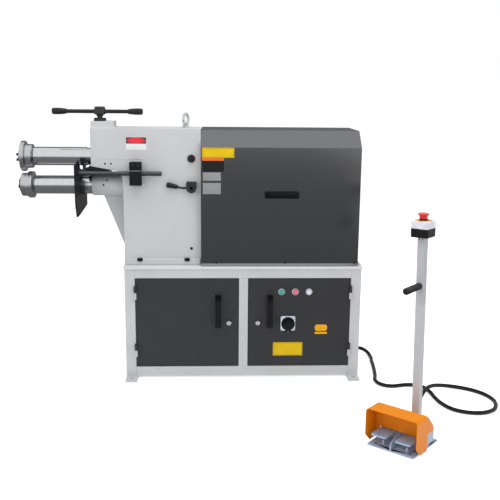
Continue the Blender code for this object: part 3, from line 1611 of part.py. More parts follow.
def fence(on):
    """The fence: a round rod that slides in a clamp on the frame, with a plate across the shafts at one end."""
    rod_y = FRAME_FRONT - FENCE_ROD_TO_FRAME
    axis = frame_empty("fence_axis", (CLAMP_LEFT, rod_y, FENCE_ROD_HEIGHT), on)
    clamp = block(
        "fence_clamp",
        (CLAMP_LEFT, FRAME_FRONT - CLAMP_DEPTH, CLAMP_LOW),
        (CLAMP_LEFT + CLAMP_WIDTH, FRAME_FRONT - SEAT_GAP, CLAMP_HIGH),
        black_steel,
        on,
    )
    cut(
        clamp,
        rod(
            "fence_rod_hole",
            (CLAMP_LEFT - OVERRUN, rod_y, FENCE_ROD_HEIGHT),
            (CLAMP_LEFT + CLAMP_WIDTH + OVERRUN, rod_y, FENCE_ROD_HEIGHT),
            FENCE_ROD_RADIUS + RUN_GAP,
            black_steel,
            on,
            SMALL_SIDES + SMALL_SIDES // 2,
        ),
    )
    rod(
        "fence_rod",
        (FENCE_ROD_LEFT + SEAT_GAP, rod_y, FENCE_ROD_HEIGHT),
        (FENCE_ROD_RIGHT, rod_y, FENCE_ROD_HEIGHT),
        FENCE_ROD_RADIUS,
        black_steel,
        axis,
        SMALL_SIDES + SMALL_SIDES // 2,
    )
    flat(
        "fence_plate",
        [
            (FENCE_FRONT, FENCE_FRONT_HIGH),
            (FENCE_FRONT, FENCE_FRONT_LOW),
            (FENCE_TIP_FRONT, FENCE_TIP_LOW),
            (FENCE_TIP_BACK, FENCE_TIP_LOW),
            (FENCE_BACK, FENCE_BACK_LOW),
            (FENCE_BACK, FENCE_BACK_HIGH),
            (FENCE_SHOULDER_DEPTH, FENCE_SHOULDER_HIGH),
            (FENCE_PEAK_DEPTH, FENCE_PEAK_HIGH),
        ],
        "X",
        FENCE_ROD_LEFT - FENCE_PLATE / 2,
        FENCE_PLATE,
        black_steel,
        axis,
        (circle(SHAFT_Y, LOWER_SHAFT_HEIGHT, FENCE_HOLE_RADIUS),),
    )


def lever(on):
    """The hand lever on the frame's front, on a shank through the front plate."""
    height = LOWER_SHAFT_HEIGHT
    axis = frame_empty("lever_axis", (TRUNNION_X, FRAME_FRONT, height), on)
    back = FRAME_FRONT - SEAT_GAP
    front = back - LEVER_HUB_DEPTH
    middle = (front + back) / 2
    half_turn = [math.pi * step / 8 for step in range(9)]
    bottom = [
        (TRUNNION_X - LEVER_HUB_RADIUS * math.cos(turn), height - LEVER_HUB_RADIUS * math.sin(turn))
        for turn in half_turn
    ]
    top = height + LEVER_HUB_RISE
    hub = flat(
        "axial_lever",
        [*bottom, (TRUNNION_X + LEVER_HUB_RADIUS, top), (TRUNNION_X - LEVER_HUB_RADIUS, top)],
        "Y",
        middle,
        LEVER_HUB_DEPTH,
        black_steel,
        axis,
    )
    shank = rod(
        "lever_shank",
        (TRUNNION_X, middle, height),
        (TRUNNION_X, FRAME_FRONT + FRAME_PLATE, height),
        LEVER_SHANK_RADIUS,
        black_steel,
        axis,
        SMALL_SIDES,
    )
    grip_x = TRUNNION_X - LEVER_GRIP_START
    arm = rod(
        "lever_arm",
        (TRUNNION_X, middle, height),
        (grip_x - OVERRUN, middle, height + OVERRUN / 2),
        LEVER_ARM_RADIUS,
        black_steel,
        axis,
        SMALL_SIDES,
    )
    grip = rod(
        "lever_grip",
        (grip_x, middle, height),
        (TRUNNION_X - LEVER_LENGTH, middle, height + LEVER_RISE),
        LEVER_GRIP_RADIUS,
        black_plastic,
        axis,
        SMALL_SIDES,
    )
    join(hub, shank, arm, grip)


def pedal_base(on):
    """The cast base of the foot switch: plate, switch housing across it and the rib between the pedals."""
    half_width, half_depth = BASE_WIDTH / 2, BASE_DEPTH / 2
    base = block(
        "pedal_base", (-half_width, -half_depth, 0), (half_width, half_depth, BASE_THICKNESS), cast_grey, on
    )
    housing = block(
        "pedal_housing",
        (-HOUSING_WIDTH / 2, HOUSING_FRONT, BASE_THICKNESS / 2),
        (HOUSING_WIDTH / 2, HOUSING_FRONT + HOUSING_DEPTH, HOUSING_HEIGHT),
        cast_grey,
        on,
    )
    rib_reach = HOUSING_FRONT - RIB_FRONT
    rib_side = [
        (HOUSING_FRONT + OVERRUN, BASE_THICKNESS / 2),
        (HOUSING_FRONT + OVERRUN, RIB_HEIGHT),
        *[(HOUSING_FRONT - rib_reach * forward, RIB_HEIGHT * up) for forward, up in RIB_TOP_SHARES],
        (RIB_FRONT, BASE_THICKNESS),
        (RIB_FRONT, BASE_THICKNESS / 2),
    ]
    rib = flat("pedal_rib", rib_side, "X", 0, RIB_THICKNESS, cast_grey, on)
    join(base, housing, rib)
    for across in (-1, 1):
        for depth in (-1, 1):
            hole_x = across * (half_width - BASE_HOLE_INSET)
            hole_y = depth * (half_depth - BASE_HOLE_INSET)
            cut(
                base,
                rod(
                    f"base_hole_{across}_{depth}",
                    (hole_x, hole_y, -OVERRUN),
                    (hole_x, hole_y, BASE_THICKNESS + OVERRUN),
                    BASE_HOLE_RADIUS,
                    cast_grey,
                    on,
                    SMALL_SIDES,
                ),
            )


def guard_section(inset, low):
    """The guard's arch in (X, Z): straight sides and a flat roof with round corners."""
    half = GUARD_WIDTH / 2 - inset
    high = GUARD_HEIGHT - inset
    corner = GUARD_CORNER - inset
    turns = [math.pi / 2 * step / 5 for step in range(6)]
    right = [
        (half - corner + corner * math.cos(turn), high - corner + corner * math.sin(turn)) for turn in turns
    ]
    left = [(-across, up) for across, up in reversed(right)]
    return [(half, low), *right, *left, (-half, low)]


def guard(on):
    """The sheet guard over the pedals, open at the front, with a wall behind them and a hood at its back."""
    low = BASE_THICKNESS + SEAT_GAP
    depth = GUARD_BACK - GUARD_FRONT
    middle = (GUARD_BACK + GUARD_FRONT) / 2
    shell = flat("pedal_guard", guard_section(0, low), "Y", middle, depth, guard_paint, on)
    side = [
        (GUARD_FRONT - OVERRUN, GUARD_HEIGHT + OVERRUN),
        (GUARD_FRONT - OVERRUN, GUARD_TOE_HIGH + OVERRUN),
        (GUARD_FRONT, GUARD_TOE_HIGH),
        (GUARD_TOE_BACK, low),
        (GUARD_TOE_BACK, low - OVERRUN),
        (GUARD_SIDE_BACK, low - OVERRUN),
        (GUARD_SIDE_BACK, GUARD_HOOD_LOW),
        (GUARD_BACK + OVERRUN, GUARD_HOOD_LOW),
        (GUARD_BACK + OVERRUN, GUARD_HOOD_HIGH),
        (GUARD_BACK, GUARD_HOOD_HIGH),
        (GUARD_ROOF_BACK, GUARD_HEIGHT),
        (GUARD_ROOF_BACK, GUARD_HEIGHT + OVERRUN),
    ]
    keep = flat("guard_side", side, "X", 0, GUARD_WIDTH + OVERRUN, guard_paint, on)
    sheet = GUARD_SHEET
    inside = flat(
        "guard_inside",
        guard_section(sheet, low - 2 * OVERRUN),
        "Y",
        middle - OVERRUN,
        depth + 2 * OVERRUN,
        guard_paint,
        on,
    )
    rise = (GUARD_HEIGHT - GUARD_HOOD_HIGH) / (GUARD_BACK - GUARD_ROOF_BACK)
    slope_drop = sheet * math.sqrt(1 + rise * rise)
    hollow = [
        (GUARD_FRONT - 2 * OVERRUN, GUARD_HEIGHT),
        (GUARD_FRONT - 2 * OVERRUN, low - 2 * OVERRUN),
        (GUARD_BACK - sheet, low - 2 * OVERRUN),
        (GUARD_BACK - sheet, GUARD_HOOD_HIGH - slope_drop + rise * sheet),
        (GUARD_ROOF_BACK - (slope_drop - sheet) / rise, GUARD_HEIGHT - sheet),
        (GUARD_ROOF_BACK - (slope_drop - sheet) / rise, GUARD_HEIGHT),
    ]
    hollow_keep = flat("guard_hollow", hollow, "X", 0, GUARD_WIDTH, guard_paint, on)
    boolean(shell, keep, "INTERSECT")
    boolean(inside, hollow_keep, "INTERSECT")
    cut(shell, inside)
    wall_low = PEDAL_TOP + GUARD_WALL_OVER_PEDALS
    wall = flat(
        "guard_wall",
        guard_section(sheet / 2, wall_low),
        "Y",
        GUARD_ROOF_BACK - sheet / 2,
        sheet,
        guard_paint,
        on,
    )
    join(shell, wall)


def pedals(on):
    """Two pedals, each on a pivot bar in front of the switch housing."""
    pivot_y = HOUSING_FRONT - PEDAL_PIVOT_RADIUS - PEDAL_PIVOT_GAP
    pivot_z = PEDAL_TOP - PEDAL_PIVOT_RADIUS
    for side, way in (("left", -1), ("right", 1)):
        axis = frame_empty(f"pedal_axis_{side}", (0, pivot_y, pivot_z), on)
        ends = sorted((way * PEDAL_INNER, way * (PEDAL_INNER + PEDAL_WIDTH)))
        tread = block(
            f"pedal_{side}",
            (ends[0], PEDAL_FRONT, PEDAL_TOP - PEDAL_THICKNESS),
            (ends[1], pivot_y, PEDAL_TOP),
            cast_grey,
            axis,
        )
        bar = rod(
            f"pedal_bar_{side}",
            (ends[0], pivot_y, pivot_z),
            (ends[1], pivot_y, pivot_z),
            PEDAL_PIVOT_RADIUS,
            cast_grey,
            axis,
            SMALL_SIDES,
        )
        join(tread, bar)


def pole(on):
    """The square tube pole with its grip, and the emergency stop on top. It leans a little."""
    low = BASE_THICKNESS + SEAT_GAP + abs(math.sin(POLE_LEAN)) * POLE_SIDE
    foot = frame_empty("pole_foot", (POLE_X, POLE_Y, low), on)
    foot.rotation_euler.y = POLE_LEAN
    places[foot] = Vector()
    half = POLE_SIDE / 2
    top = POLE_TOP - low
    tube = tube_bar("pole", (-half, -half, 0), (half, half, top), POLE_WALL, "Z", frame_paint, foot)
    cable_hole = rod(
        "pole_cable_hole",
        (0, half - 2 * POLE_WALL, POLE_GLAND_HEIGHT - low),
        (0, half + POLE_GLAND_LENGTH + OVERRUN, POLE_GLAND_HEIGHT - low),
        CABLE_RADIUS / 2,
        frame_paint,
        foot,
        SMALL_SIDES,
    )
    gland = turned(
        "pole_gland",
        [
            (GLAND_NECK_RADIUS, POLE_GLAND_LENGTH),
            (POLE_GLAND_RADIUS, POLE_GLAND_LENGTH / 2),
            (POLE_GLAND_RADIUS, -WELD_LAP),
            (0, -WELD_LAP),
            (0, POLE_GLAND_LENGTH),
        ],
        (0, half, POLE_GLAND_HEIGHT - low),
        (0, 1, 0),
        black_plastic,
        foot,
        closed=True,
        sides=SMALL_SIDES,
    )
    join(tube, gland)
    cut(tube, cable_hole)
    grip_height = POLE_GRIP_HEIGHT - low
    grip_back = -half - SEAT_GAP
    turned(
        "pole_grip",
        [
            (0, grip_back),
            (POLE_GRIP_RADIUS - POLE_GRIP_FLANGE, grip_back),
            (POLE_GRIP_RADIUS, grip_back - POLE_GRIP_FLANGE),
            (POLE_GRIP_RADIUS, grip_back - POLE_GRIP_LENGTH + POLE_GRIP_FLANGE),
            (POLE_GRIP_RADIUS - POLE_GRIP_FLANGE, grip_back - POLE_GRIP_LENGTH),
            (0, grip_back - POLE_GRIP_LENGTH),
        ],
        (0, 0, grip_height),
        (0, 1, 0),
        black_plastic,
        foot,
        sides=SMALL_SIDES,
    )
    box_low = top + SEAT_GAP
    box_high = box_low + STOP_BOX_HEIGHT
    box = block(
        "stop_box",
        (-STOP_BOX_WIDTH / 2, -STOP_BOX_DEPTH / 2, box_low),
        (STOP_BOX_WIDTH / 2, STOP_BOX_DEPTH / 2, box_high),
        black_plastic,
        foot,
    )
    rounded(box, STOP_BOX_BEVEL)
    cut(
        box,
        rod(
            "stop_bore",
            (0, 0, box_high - STOP_SHANK - STOP_TRAVEL - OVERRUN),
            (0, 0, box_high + OVERRUN),
            STOP_STEM_RADIUS + RUN_GAP,
            black_plastic,
            foot,
            SMALL_SIDES + SMALL_SIDES // 2,
        ),
    )
    button = frame_empty("stop_button_axis", (0, 0, box_high), foot)
    head = STOP_STEM_LENGTH
    head_high = STOP_STEM_LENGTH + STOP_HEAD_HEIGHT
    turned(
        "emergency_stop_button",
        [
            (0, head_high),
            (STOP_HEAD_RADIUS * STOP_HEAD_TOP_SHARE, head_high),
            (STOP_HEAD_RADIUS, head + STOP_HEAD_HEIGHT * STOP_HEAD_RIM_SHARE),
            (STOP_HEAD_RADIUS * STOP_HEAD_UNDERSIDE_SHARE, head + STOP_HEAD_HEIGHT / 2),
            (STOP_STEM_RADIUS, head),
            (STOP_STEM_RADIUS, -STOP_SHANK),
            (0, -STOP_SHANK),
        ],
        (0, 0, box_high),
        (0, 0, 1),
        red,
        button,
        sides=SMALL_SIDES + SMALL_SIDES // 2,
    )


def cable_gland(on):
    """The gland in the cabinet's right side."""
    face = CABINET_WIDTH
    panel = bpy.data.objects["side_panel_right"]
    cut(
        panel,
        rod(
            "gland_hole",
            (face - 2 * POST_WIDTH, GLAND_Y, GLAND_HEIGHT),
            (face + OVERRUN, GLAND_Y, GLAND_HEIGHT),
            GLAND_NECK_RADIUS,
            black_plastic,
            on,
            SMALL_SIDES,
        ),
    )
    turned(
        "cable_gland",
        [
            (GLAND_NECK_RADIUS, GLAND_LENGTH),
            (GLAND_RADIUS, GLAND_LENGTH / 2),
            (GLAND_RADIUS, SEAT_GAP),
            (GLAND_NECK_RADIUS - SEAT_GAP, SEAT_GAP),
            (GLAND_NECK_RADIUS - SEAT_GAP, -SHEET),
            (CABLE_RADIUS / 2, -SHEET),
            (CABLE_RADIUS / 2, GLAND_LENGTH),
        ],
        (face, GLAND_Y, GLAND_HEIGHT),
        (1, 0, 0),
        black_plastic,
        on,
        closed=True,
        sides=SMALL_SIDES,
    )


def smooth_route(points, step):
    """Points about a step apart on a smooth curve through the route's own points."""
    points = [Vector(point) for point in points]
    ends = [2 * points[0] - points[1], *points, 2 * points[-1] - points[-2]]
    found = []
    for before, start, end, after in zip(ends, ends[1:], ends[2:], ends[3:]):
        count = max(1, round((end - start).length / step))
        for index in range(count):
            t = index / count
            a = 2 * start
            b = end - before
            c = 2 * before - 5 * start + 4 * end - after
            d = 3 * start - before - 3 * end + after
            found.append((a + b * t + c * t * t + d * t * t * t) / 2)
    return [*found, points[-1]]


def station_point(across, depth, height):
    """A point of the station's own coordinates, in the machine's."""
    turn_cos, turn_sin = math.cos(STATION_TURN), math.sin(STATION_TURN)
    return (
        STATION_X + across * turn_cos - depth * turn_sin,
        STATION_Y + across * turn_sin + depth * turn_cos,
        height,
    )


def cable(on):
    """The cable between the gland on the cabinet and the pole of the foot switch."""
    start = CABINET_WIDTH + GLAND_LENGTH + SEAT_GAP
    across = POLE_X + POLE_GLAND_HEIGHT * math.sin(POLE_LEAN)
    end = POLE_Y + POLE_SIDE / 2 + POLE_GLAND_LENGTH + SEAT_GAP
    route = [
        (start, GLAND_Y, GLAND_HEIGHT),
        (start + CABLE_LEAD, GLAND_Y, GLAND_HEIGHT),
        *CABLE_ROUTE,
        station_point(across, end + 2 * CABLE_LEAD, POLE_GLAND_HEIGHT),
        station_point(across, end, POLE_GLAND_HEIGHT),
    ]
    curve = bpy.data.curves.new("cable", "CURVE")
    curve.dimensions = "3D"
    curve.bevel_depth = CABLE_RADIUS
    curve.bevel_resolution = 2
    curve.use_fill_caps = True
    points = smooth_route(route, CABLE_STEP)
    spline = curve.splines.new("POLY")
    spline.points.add(len(points) - 1)
    for point, place in zip(spline.points, points):
        point.co = (*place, 1)
    curve.materials.append(black_plastic)
    obj = bpy.data.objects.new("cable", curve)
    parts.objects.link(obj)
    obj.parent = on


def centre_assembly(machine):
    """Moves the assembly so that its origin is on the floor under the middle of all but the cable."""
    bpy.context.view_layer.update()
    graph = bpy.context.evaluated_depsgraph_get()
    corners = []
    for obj in parts.objects:
        if obj.type == "MESH" and not obj.hide_render:
            evaluated = obj.evaluated_get(graph)
            mesh = evaluated.to_mesh()
            corners += [evaluated.matrix_world @ vertex.co for vertex in mesh.vertices]
            evaluated.to_mesh_clear()
    for index in (0, 1):
        values = [corner[index] for corner in corners]
        machine.location[index] = -(min(values) + max(values)) / 2
    machine.location[2] = -min(corner[2] for corner in corners)


clear_scene()
frame_paint = finish("light_grey_paint", (0.56, 0.57, 0.58), 0.45, 0)
door_paint = finish("dark_grey_paint", (0.045, 0.047, 0.055), 0.5, 0)
black_plastic = finish("black_plastic", (0.012, 0.012, 0.014), 0.4, 0)
white_plastic = finish("white_plastic", (0.75, 0.77, 0.80), 0.35, 0)
black_steel = finish("black_oxide_steel", (0.02, 0.02, 0.022), 0.4, 0.6)
steel = finish("brushed_steel", (0.6, 0.6, 0.62), 0.35, 1)
zinc = finish("zinc_plated_steel", (0.5, 0.51, 0.53), 0.4, 1)
chrome = finish("chrome", (0.75, 0.75, 0.77), 0.12, 1)
polished = finish("ground_steel", (0.62, 0.63, 0.65), 0.2, 1)
tool_steel = finish("tool_steel", (0.5, 0.5, 0.52), 0.25, 1)
gear_steel = finish("gear_steel", (0.35, 0.35, 0.36), 0.4, 1)
cast_grey = finish("cast_metal", (0.21, 0.22, 0.25), 0.5, 0.3)
bronze = finish("bearing_bronze", (0.55, 0.38, 0.15), 0.35, 1)
guard_paint = finish("orange_paint", (0.90, 0.30, 0.02), 0.4, 0)
green = finish("green_plastic", (0.04, 0.32, 0.22), 0.35, 0)
red = finish("red_plastic", (0.70, 0.03, 0.05), 0.35, 0)

machine = frame_empty("machine", (0, 0, 0))
cabinet(machine)
doors(machine)
electrical_panel(machine)
machine_frame(machine)
lower_shaft(machine)
upper_shaft(machine)
pressure_screw(machine)
drive(machine)
drive_cover(machine)
eye_bolt(machine)
fence(machine)
lever(machine)
station = frame_empty("station", (STATION_X, STATION_Y, 0), machine)
station.rotation_euler.z = STATION_TURN
places[station] = Vector()
pedal_base(station)
guard(station)
pedals(station)
pole(station)
cable_gland(machine)
cable(machine)
centre_assembly(machine)
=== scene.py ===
"""Looks of the electric bead roller: cabinet, machine frame with shafts and rolls, covered drive, foot switch.

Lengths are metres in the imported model's own frame. The file follows the machine as it is put together, from
the floor up, after the camera, the light and the cable.
"""

import math

import bmesh
import bpy
from mathutils import Matrix, Vector, noise


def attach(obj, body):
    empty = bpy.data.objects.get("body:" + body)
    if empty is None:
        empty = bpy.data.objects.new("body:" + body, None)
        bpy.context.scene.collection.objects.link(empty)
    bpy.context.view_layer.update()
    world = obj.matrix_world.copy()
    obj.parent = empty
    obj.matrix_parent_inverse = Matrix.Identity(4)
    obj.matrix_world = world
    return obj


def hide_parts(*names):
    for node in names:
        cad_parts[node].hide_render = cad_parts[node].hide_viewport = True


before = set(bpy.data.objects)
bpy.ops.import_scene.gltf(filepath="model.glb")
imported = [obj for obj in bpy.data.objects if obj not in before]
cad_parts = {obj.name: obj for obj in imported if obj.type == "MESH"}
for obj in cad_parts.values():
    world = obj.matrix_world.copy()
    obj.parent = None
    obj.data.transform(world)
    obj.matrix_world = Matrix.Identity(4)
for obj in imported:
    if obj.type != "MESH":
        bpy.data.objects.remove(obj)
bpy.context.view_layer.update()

# Camera
# It stands where the photograph was taken from, at chest height in front of the cabinet's left half, and looks a
# little to the right and down.
CAMERA_PLACE = (0.0215, -3.2066, 1.2995)
CAMERA_LENS = 56.3
CAMERA_YAW = math.radians(2.5246)
CAMERA_DIP = math.radians(11.8658)
CAMERA_ROLL = math.radians(0.5426)

camera_data = bpy.data.cameras.new("camera")
camera_data.lens = CAMERA_LENS
camera_data.sensor_width = 36
camera = bpy.data.objects.new("camera", camera_data)
bpy.context.scene.collection.objects.link(camera)
camera.matrix_world = (
    Matrix.Translation(CAMERA_PLACE)
    @ Matrix.Rotation(-CAMERA_YAW, 4, "Z")
    @ Matrix.Rotation(math.radians(90) - CAMERA_DIP, 4, "X")
    @ Matrix.Rotation(CAMERA_ROLL, 4, "Z")
)
bpy.context.scene.camera = camera
bpy.context.scene.view_settings.view_transform = "Standard"

# Cable
# A black rubber lead of 17 mm from the cabinet's right side to the foot switch. It drops to the floor, makes one
# loop that passes over its own start, and enters the back of the pole.
CORNER = Vector((-0.3827, 0.15394, 0))  # the cabinet's front left corner on the floor
CABLE_DIAMETER = 0.017
CABLE_STEP = 0.012
CABLE_ROUTE = (
    (1.0783, 0.3200, 0.0310),
    (1.0983, 0.3200, 0.0310),
    (1.1158, 0.3162, 0.0294),
    (1.1314, 0.3079, 0.0259),
    (1.1440, 0.2954, 0.0208),
    (1.1525, 0.2789, 0.0150),
    (1.1567, 0.2567, 0.0097),
    (1.1563, 0.2230, 0.0090),
    (1.1504, 0.1822, 0.0090),
    (1.1479, 0.1420, 0.0090),
    (1.1435, 0.1019, 0.0090),
    (1.1394, 0.0620, 0.0090),
    (1.1333, 0.0219, 0.0090),
    (1.1279, -0.0173, 0.0090),
    (1.1186, -0.0572, 0.0090),
    (1.1250, -0.1013, 0.0090),
    (1.1494, -0.1294, 0.0090),
    (1.1866, -0.1381, 0.0090),
    (1.2411, -0.1249, 0.0090),
    (1.2855, -0.1303, 0.0090),
    (1.3159, -0.1581, 0.0090),
    (1.3287, -0.2094, 0.0090),
    (1.3331, -0.2754, 0.0090),
    (1.3459, -0.3411, 0.0090),
    (1.3753, -0.3965, 0.0090),
    (1.4279, -0.4286, 0.0090),
    (1.4876, -0.4329, 0.0090),
    (1.5369, -0.4065, 0.0090),
    (1.5639, -0.3629, 0.0090),
    (1.5745, -0.3099, 0.0090),
    (1.5633, -0.2537, 0.0090),
    (1.5319, -0.2048, 0.0090),
    (1.4861, -0.1701, 0.0096),
    (1.4334, -0.1593, 0.0147),
    (1.3826, -0.1637, 0.0209),
    (1.3409, -0.1858, 0.0272),
    (1.3078, -0.2191, 0.0260),
    (1.2791, -0.2600, 0.0168),
    (1.2535, -0.3052, 0.0098),
    (1.2341, -0.3560, 0.0090),
    (1.2213, -0.3998, 0.0090),
    (1.2109, -0.4394, 0.0090),
    (1.2088, -0.4791, 0.0094),
    (1.2140, -0.5175, 0.0132),
    (1.2171, -0.5576, 0.0239),
    (1.2045, -0.5927, 0.0300),
    (1.1782, -0.6228, 0.0300),
)
PATTERN_LOW = 0.3
PATTERN_HIGH = 0.7


def new_finish(name, colour, roughness, metallic=0.0, gloss=0.5):
    """A material and its shader."""
    made = bpy.data.materials.new(name)
    made.use_nodes = True
    shader = made.node_tree.nodes["Principled BSDF"]
    shader.inputs["Base Color"].default_value = (*colour, 1)
    shader.inputs["Roughness"].default_value = roughness
    shader.inputs["Metallic"].default_value = metallic
    shader.inputs["Specular IOR Level"].default_value = gloss
    return made, shader


def pattern(shader, scale, stretch=(1, 1, 1), detail=3.0):
    """Noise of so many grains to a metre of the object, stretched along the axes whose factor is small."""
    tree = shader.id_data
    place = tree.nodes.new("ShaderNodeTexCoord")
    mapping = tree.nodes.new("ShaderNodeMapping")
    mapping.inputs["Scale"].default_value = stretch
    grain = tree.nodes.new("ShaderNodeTexNoise")
    grain.inputs["Scale"].default_value = scale
    grain.inputs["Detail"].default_value = detail
    tree.links.new(place.outputs["Object"], mapping.inputs["Vector"])
    tree.links.new(mapping.outputs["Vector"], grain.inputs["Vector"])
    return grain.outputs["Fac"]


def tint(shader, grain, colour, darker, lighter):
    """Lets the colour drift along a pattern between a darker and a lighter tone, given as factors."""
    tree = shader.id_data
    ramp = tree.nodes.new("ShaderNodeValToRGB")
    for stop, place, factor in zip(ramp.color_ramp.elements, (PATTERN_LOW, PATTERN_HIGH), (darker, lighter)):
        stop.position = place
        stop.color = (*(min(1, factor * c) for c in colour), 1)
    tree.links.new(grain, ramp.inputs["Fac"])
    tree.links.new(ramp.outputs["Color"], shader.inputs["Base Color"])


def dull(shader, grain, smooth, rough):
    """Lets the roughness drift between two values along a pattern."""
    tree = shader.id_data
    spread = tree.nodes.new("ShaderNodeMapRange")
    spread.inputs["From Min"].default_value = PATTERN_LOW
    spread.inputs["From Max"].default_value = PATTERN_HIGH
    spread.inputs["To Min"].default_value = smooth
    spread.inputs["To Max"].default_value = rough
    tree.links.new(grain, spread.inputs["Value"])
    tree.links.new(spread.outputs["Result"], shader.inputs["Roughness"])


def emboss(shader, grain, depth, strength):
    """Raises the surface along a pattern by a depth in metres."""
    tree = shader.id_data
    bump = tree.nodes.new("ShaderNodeBump")
    bump.inputs["Strength"].default_value = strength
    bump.inputs["Distance"].default_value = depth
    tree.links.new(grain, bump.inputs["Height"])
    tree.links.new(bump.outputs["Normal"], shader.inputs["Normal"])


def moulded(name, colour, roughness=0.42, grain_depth=0.00012, gloss=0.25):
    """Moulded plastic or rubber: a fine leather grain, and a sheen that varies where hands have polished it."""
    made, shader = new_finish(name, colour, roughness, gloss=gloss)
    worn = pattern(shader, 26)
    tint(shader, worn, colour, 0.82, 1.2)
    dull(shader, worn, roughness - 0.07, roughness + 0.08)
    emboss(shader, pattern(shader, 1400, detail=1.0), grain_depth, 0.35)
    return made


def smooth_points(route, step):
    """Points about a step apart on the smooth curve through a route."""
    route = [Vector(point) for point in route]
    ends = [2 * route[0] - route[1], *route, 2 * route[-1] - route[-2]]
    found = []
    for before, start, end, after in zip(ends, ends[1:], ends[2:], ends[3:]):
        count = max(1, round((end - start).length / step))
        for index in range(count):
            t = index / count
            a = 2 * start
            b = end - before
            c = 2 * before - 5 * start + 4 * end - after
            d = 3 * start - before - 3 * end + after
            found.append((a + b * t + c * t * t + d * t**3) / 2)
    return [*found, route[-1]]


cable_rubber = moulded("cable_rubber", (0.012, 0.012, 0.013), 0.46)
cable_line = [CORNER + point for point in smooth_points(CABLE_ROUTE, CABLE_STEP)]
cable_curve = bpy.data.curves.new("cable_lead", "CURVE")
cable_curve.dimensions = "3D"
cable_curve.bevel_depth = CABLE_DIAMETER / 2
cable_curve.bevel_resolution = 5
cable_curve.use_fill_caps = True
cable_spline = cable_curve.splines.new("POLY")
cable_spline.points.add(len(cable_line) - 1)
for knot, point in zip(cable_spline.points, cable_line):
    knot.co = (*point, 1)
cable_spline.use_smooth = True
cable_curve.materials.append(cable_rubber)
cable_lead = bpy.data.objects.new("cable_lead", cable_curve)
bpy.context.scene.collection.objects.link(cable_lead)
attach(cable_lead, "cabinet_and_frame")
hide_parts("cable")

# Floor and light
# A plain white studio floor that keeps a soft shadow, an even sky, and three soft boxes: overhead, front left and
# front right.
FLOOR_SPAN = 60
SKY_LEVEL = 0.52
PAPER_GLOW = 0.62
SOFT_BOXES = (
    ("overhead_box", (0.1, -0.2, 3.4), (0.1, 0.4, 0.6), 3.2, 82),
    ("left_box", (-2.9, -2.6, 2.3), (0.1, 0.2, 0.8), 2.2, 34),
    ("right_box", (2.6, -3.4, 2.0), (0.2, 0.2, 0.6), 2.4, 27),
)


def seen_or_mirrored(tree, rays):
    """One for a ray that the camera sends, or that metal or glass sends on, and nought for light on the object."""
    found = rays.outputs["Is Camera Ray"]
    for kind in ("Is Glossy Ray", "Is Transmission Ray"):
        either = tree.nodes.new("ShaderNodeMath")
        either.operation = "MAXIMUM"
        tree.links.new(found, either.inputs[0])
        tree.links.new(rays.outputs[kind], either.inputs[1])
        found = either.outputs["Value"]
    return found


floor_mesh = bpy.data.meshes.new("studio_floor")
half = FLOOR_SPAN / 2
floor_mesh.from_pydata([(-half, -half, 0), (half, -half, 0), (half, half, 0), (-half, half, 0)], [], [(0, 1, 2, 3)])
floor = bpy.data.objects.new("studio_floor", floor_mesh)
bpy.context.scene.collection.objects.link(floor)
floor_paper = bpy.data.materials.new("studio_paper")
floor_paper.use_nodes = True
paper_tree = floor_paper.node_tree
paper = paper_tree.nodes["Principled BSDF"]
paper.inputs["Base Color"].default_value = (0.82, 0.82, 0.82, 1)
paper.inputs["Roughness"].default_value = 0.9
paper.inputs["Specular IOR Level"].default_value = 0.0
paper_rays = paper_tree.nodes.new("ShaderNodeLightPath")
paper_glow = paper_tree.nodes.new("ShaderNodeMath")
paper_glow.operation = "MULTIPLY"
paper_glow.inputs[1].default_value = PAPER_GLOW
paper.inputs["Emission Color"].default_value = (1, 1, 1, 1)
paper_tree.links.new(seen_or_mirrored(paper_tree, paper_rays), paper_glow.inputs[0])
paper_tree.links.new(paper_glow.outputs["Value"], paper.inputs["Emission Strength"])
floor.data.materials.append(floor_paper)

sky = bpy.data.worlds.new("studio_sky")
bpy.context.scene.world = sky
sky.use_nodes = True
sky_tree = sky.node_tree
sky_light = sky_tree.nodes["Background"]
sky_light.inputs["Color"].default_value = (1, 1, 1, 1)
sky_rays = sky_tree.nodes.new("ShaderNodeLightPath")
sky_strength = sky_tree.nodes.new("ShaderNodeMapRange")
sky_strength.inputs["To Min"].default_value = SKY_LEVEL
sky_strength.inputs["To Max"].default_value = 1.0
sky_tree.links.new(seen_or_mirrored(sky_tree, sky_rays), sky_strength.inputs["Value"])
sky_tree.links.new(sky_strength.outputs["Result"], sky_light.inputs["Strength"])

for box_name, box_place, box_aim, box_side, box_power in SOFT_BOXES:
    lamp = bpy.data.lights.new(box_name, "AREA")
    lamp.energy = box_power
    lamp.size = box_side
    soft_box = bpy.data.objects.new(box_name, lamp)
    bpy.context.scene.collection.objects.link(soft_box)
    soft_box.location = box_place
    soft_box.rotation_euler = (Vector(box_aim) - Vector(box_place)).to_track_quat("-Z", "Y").to_euler()
    soft_box.visible_glossy = False

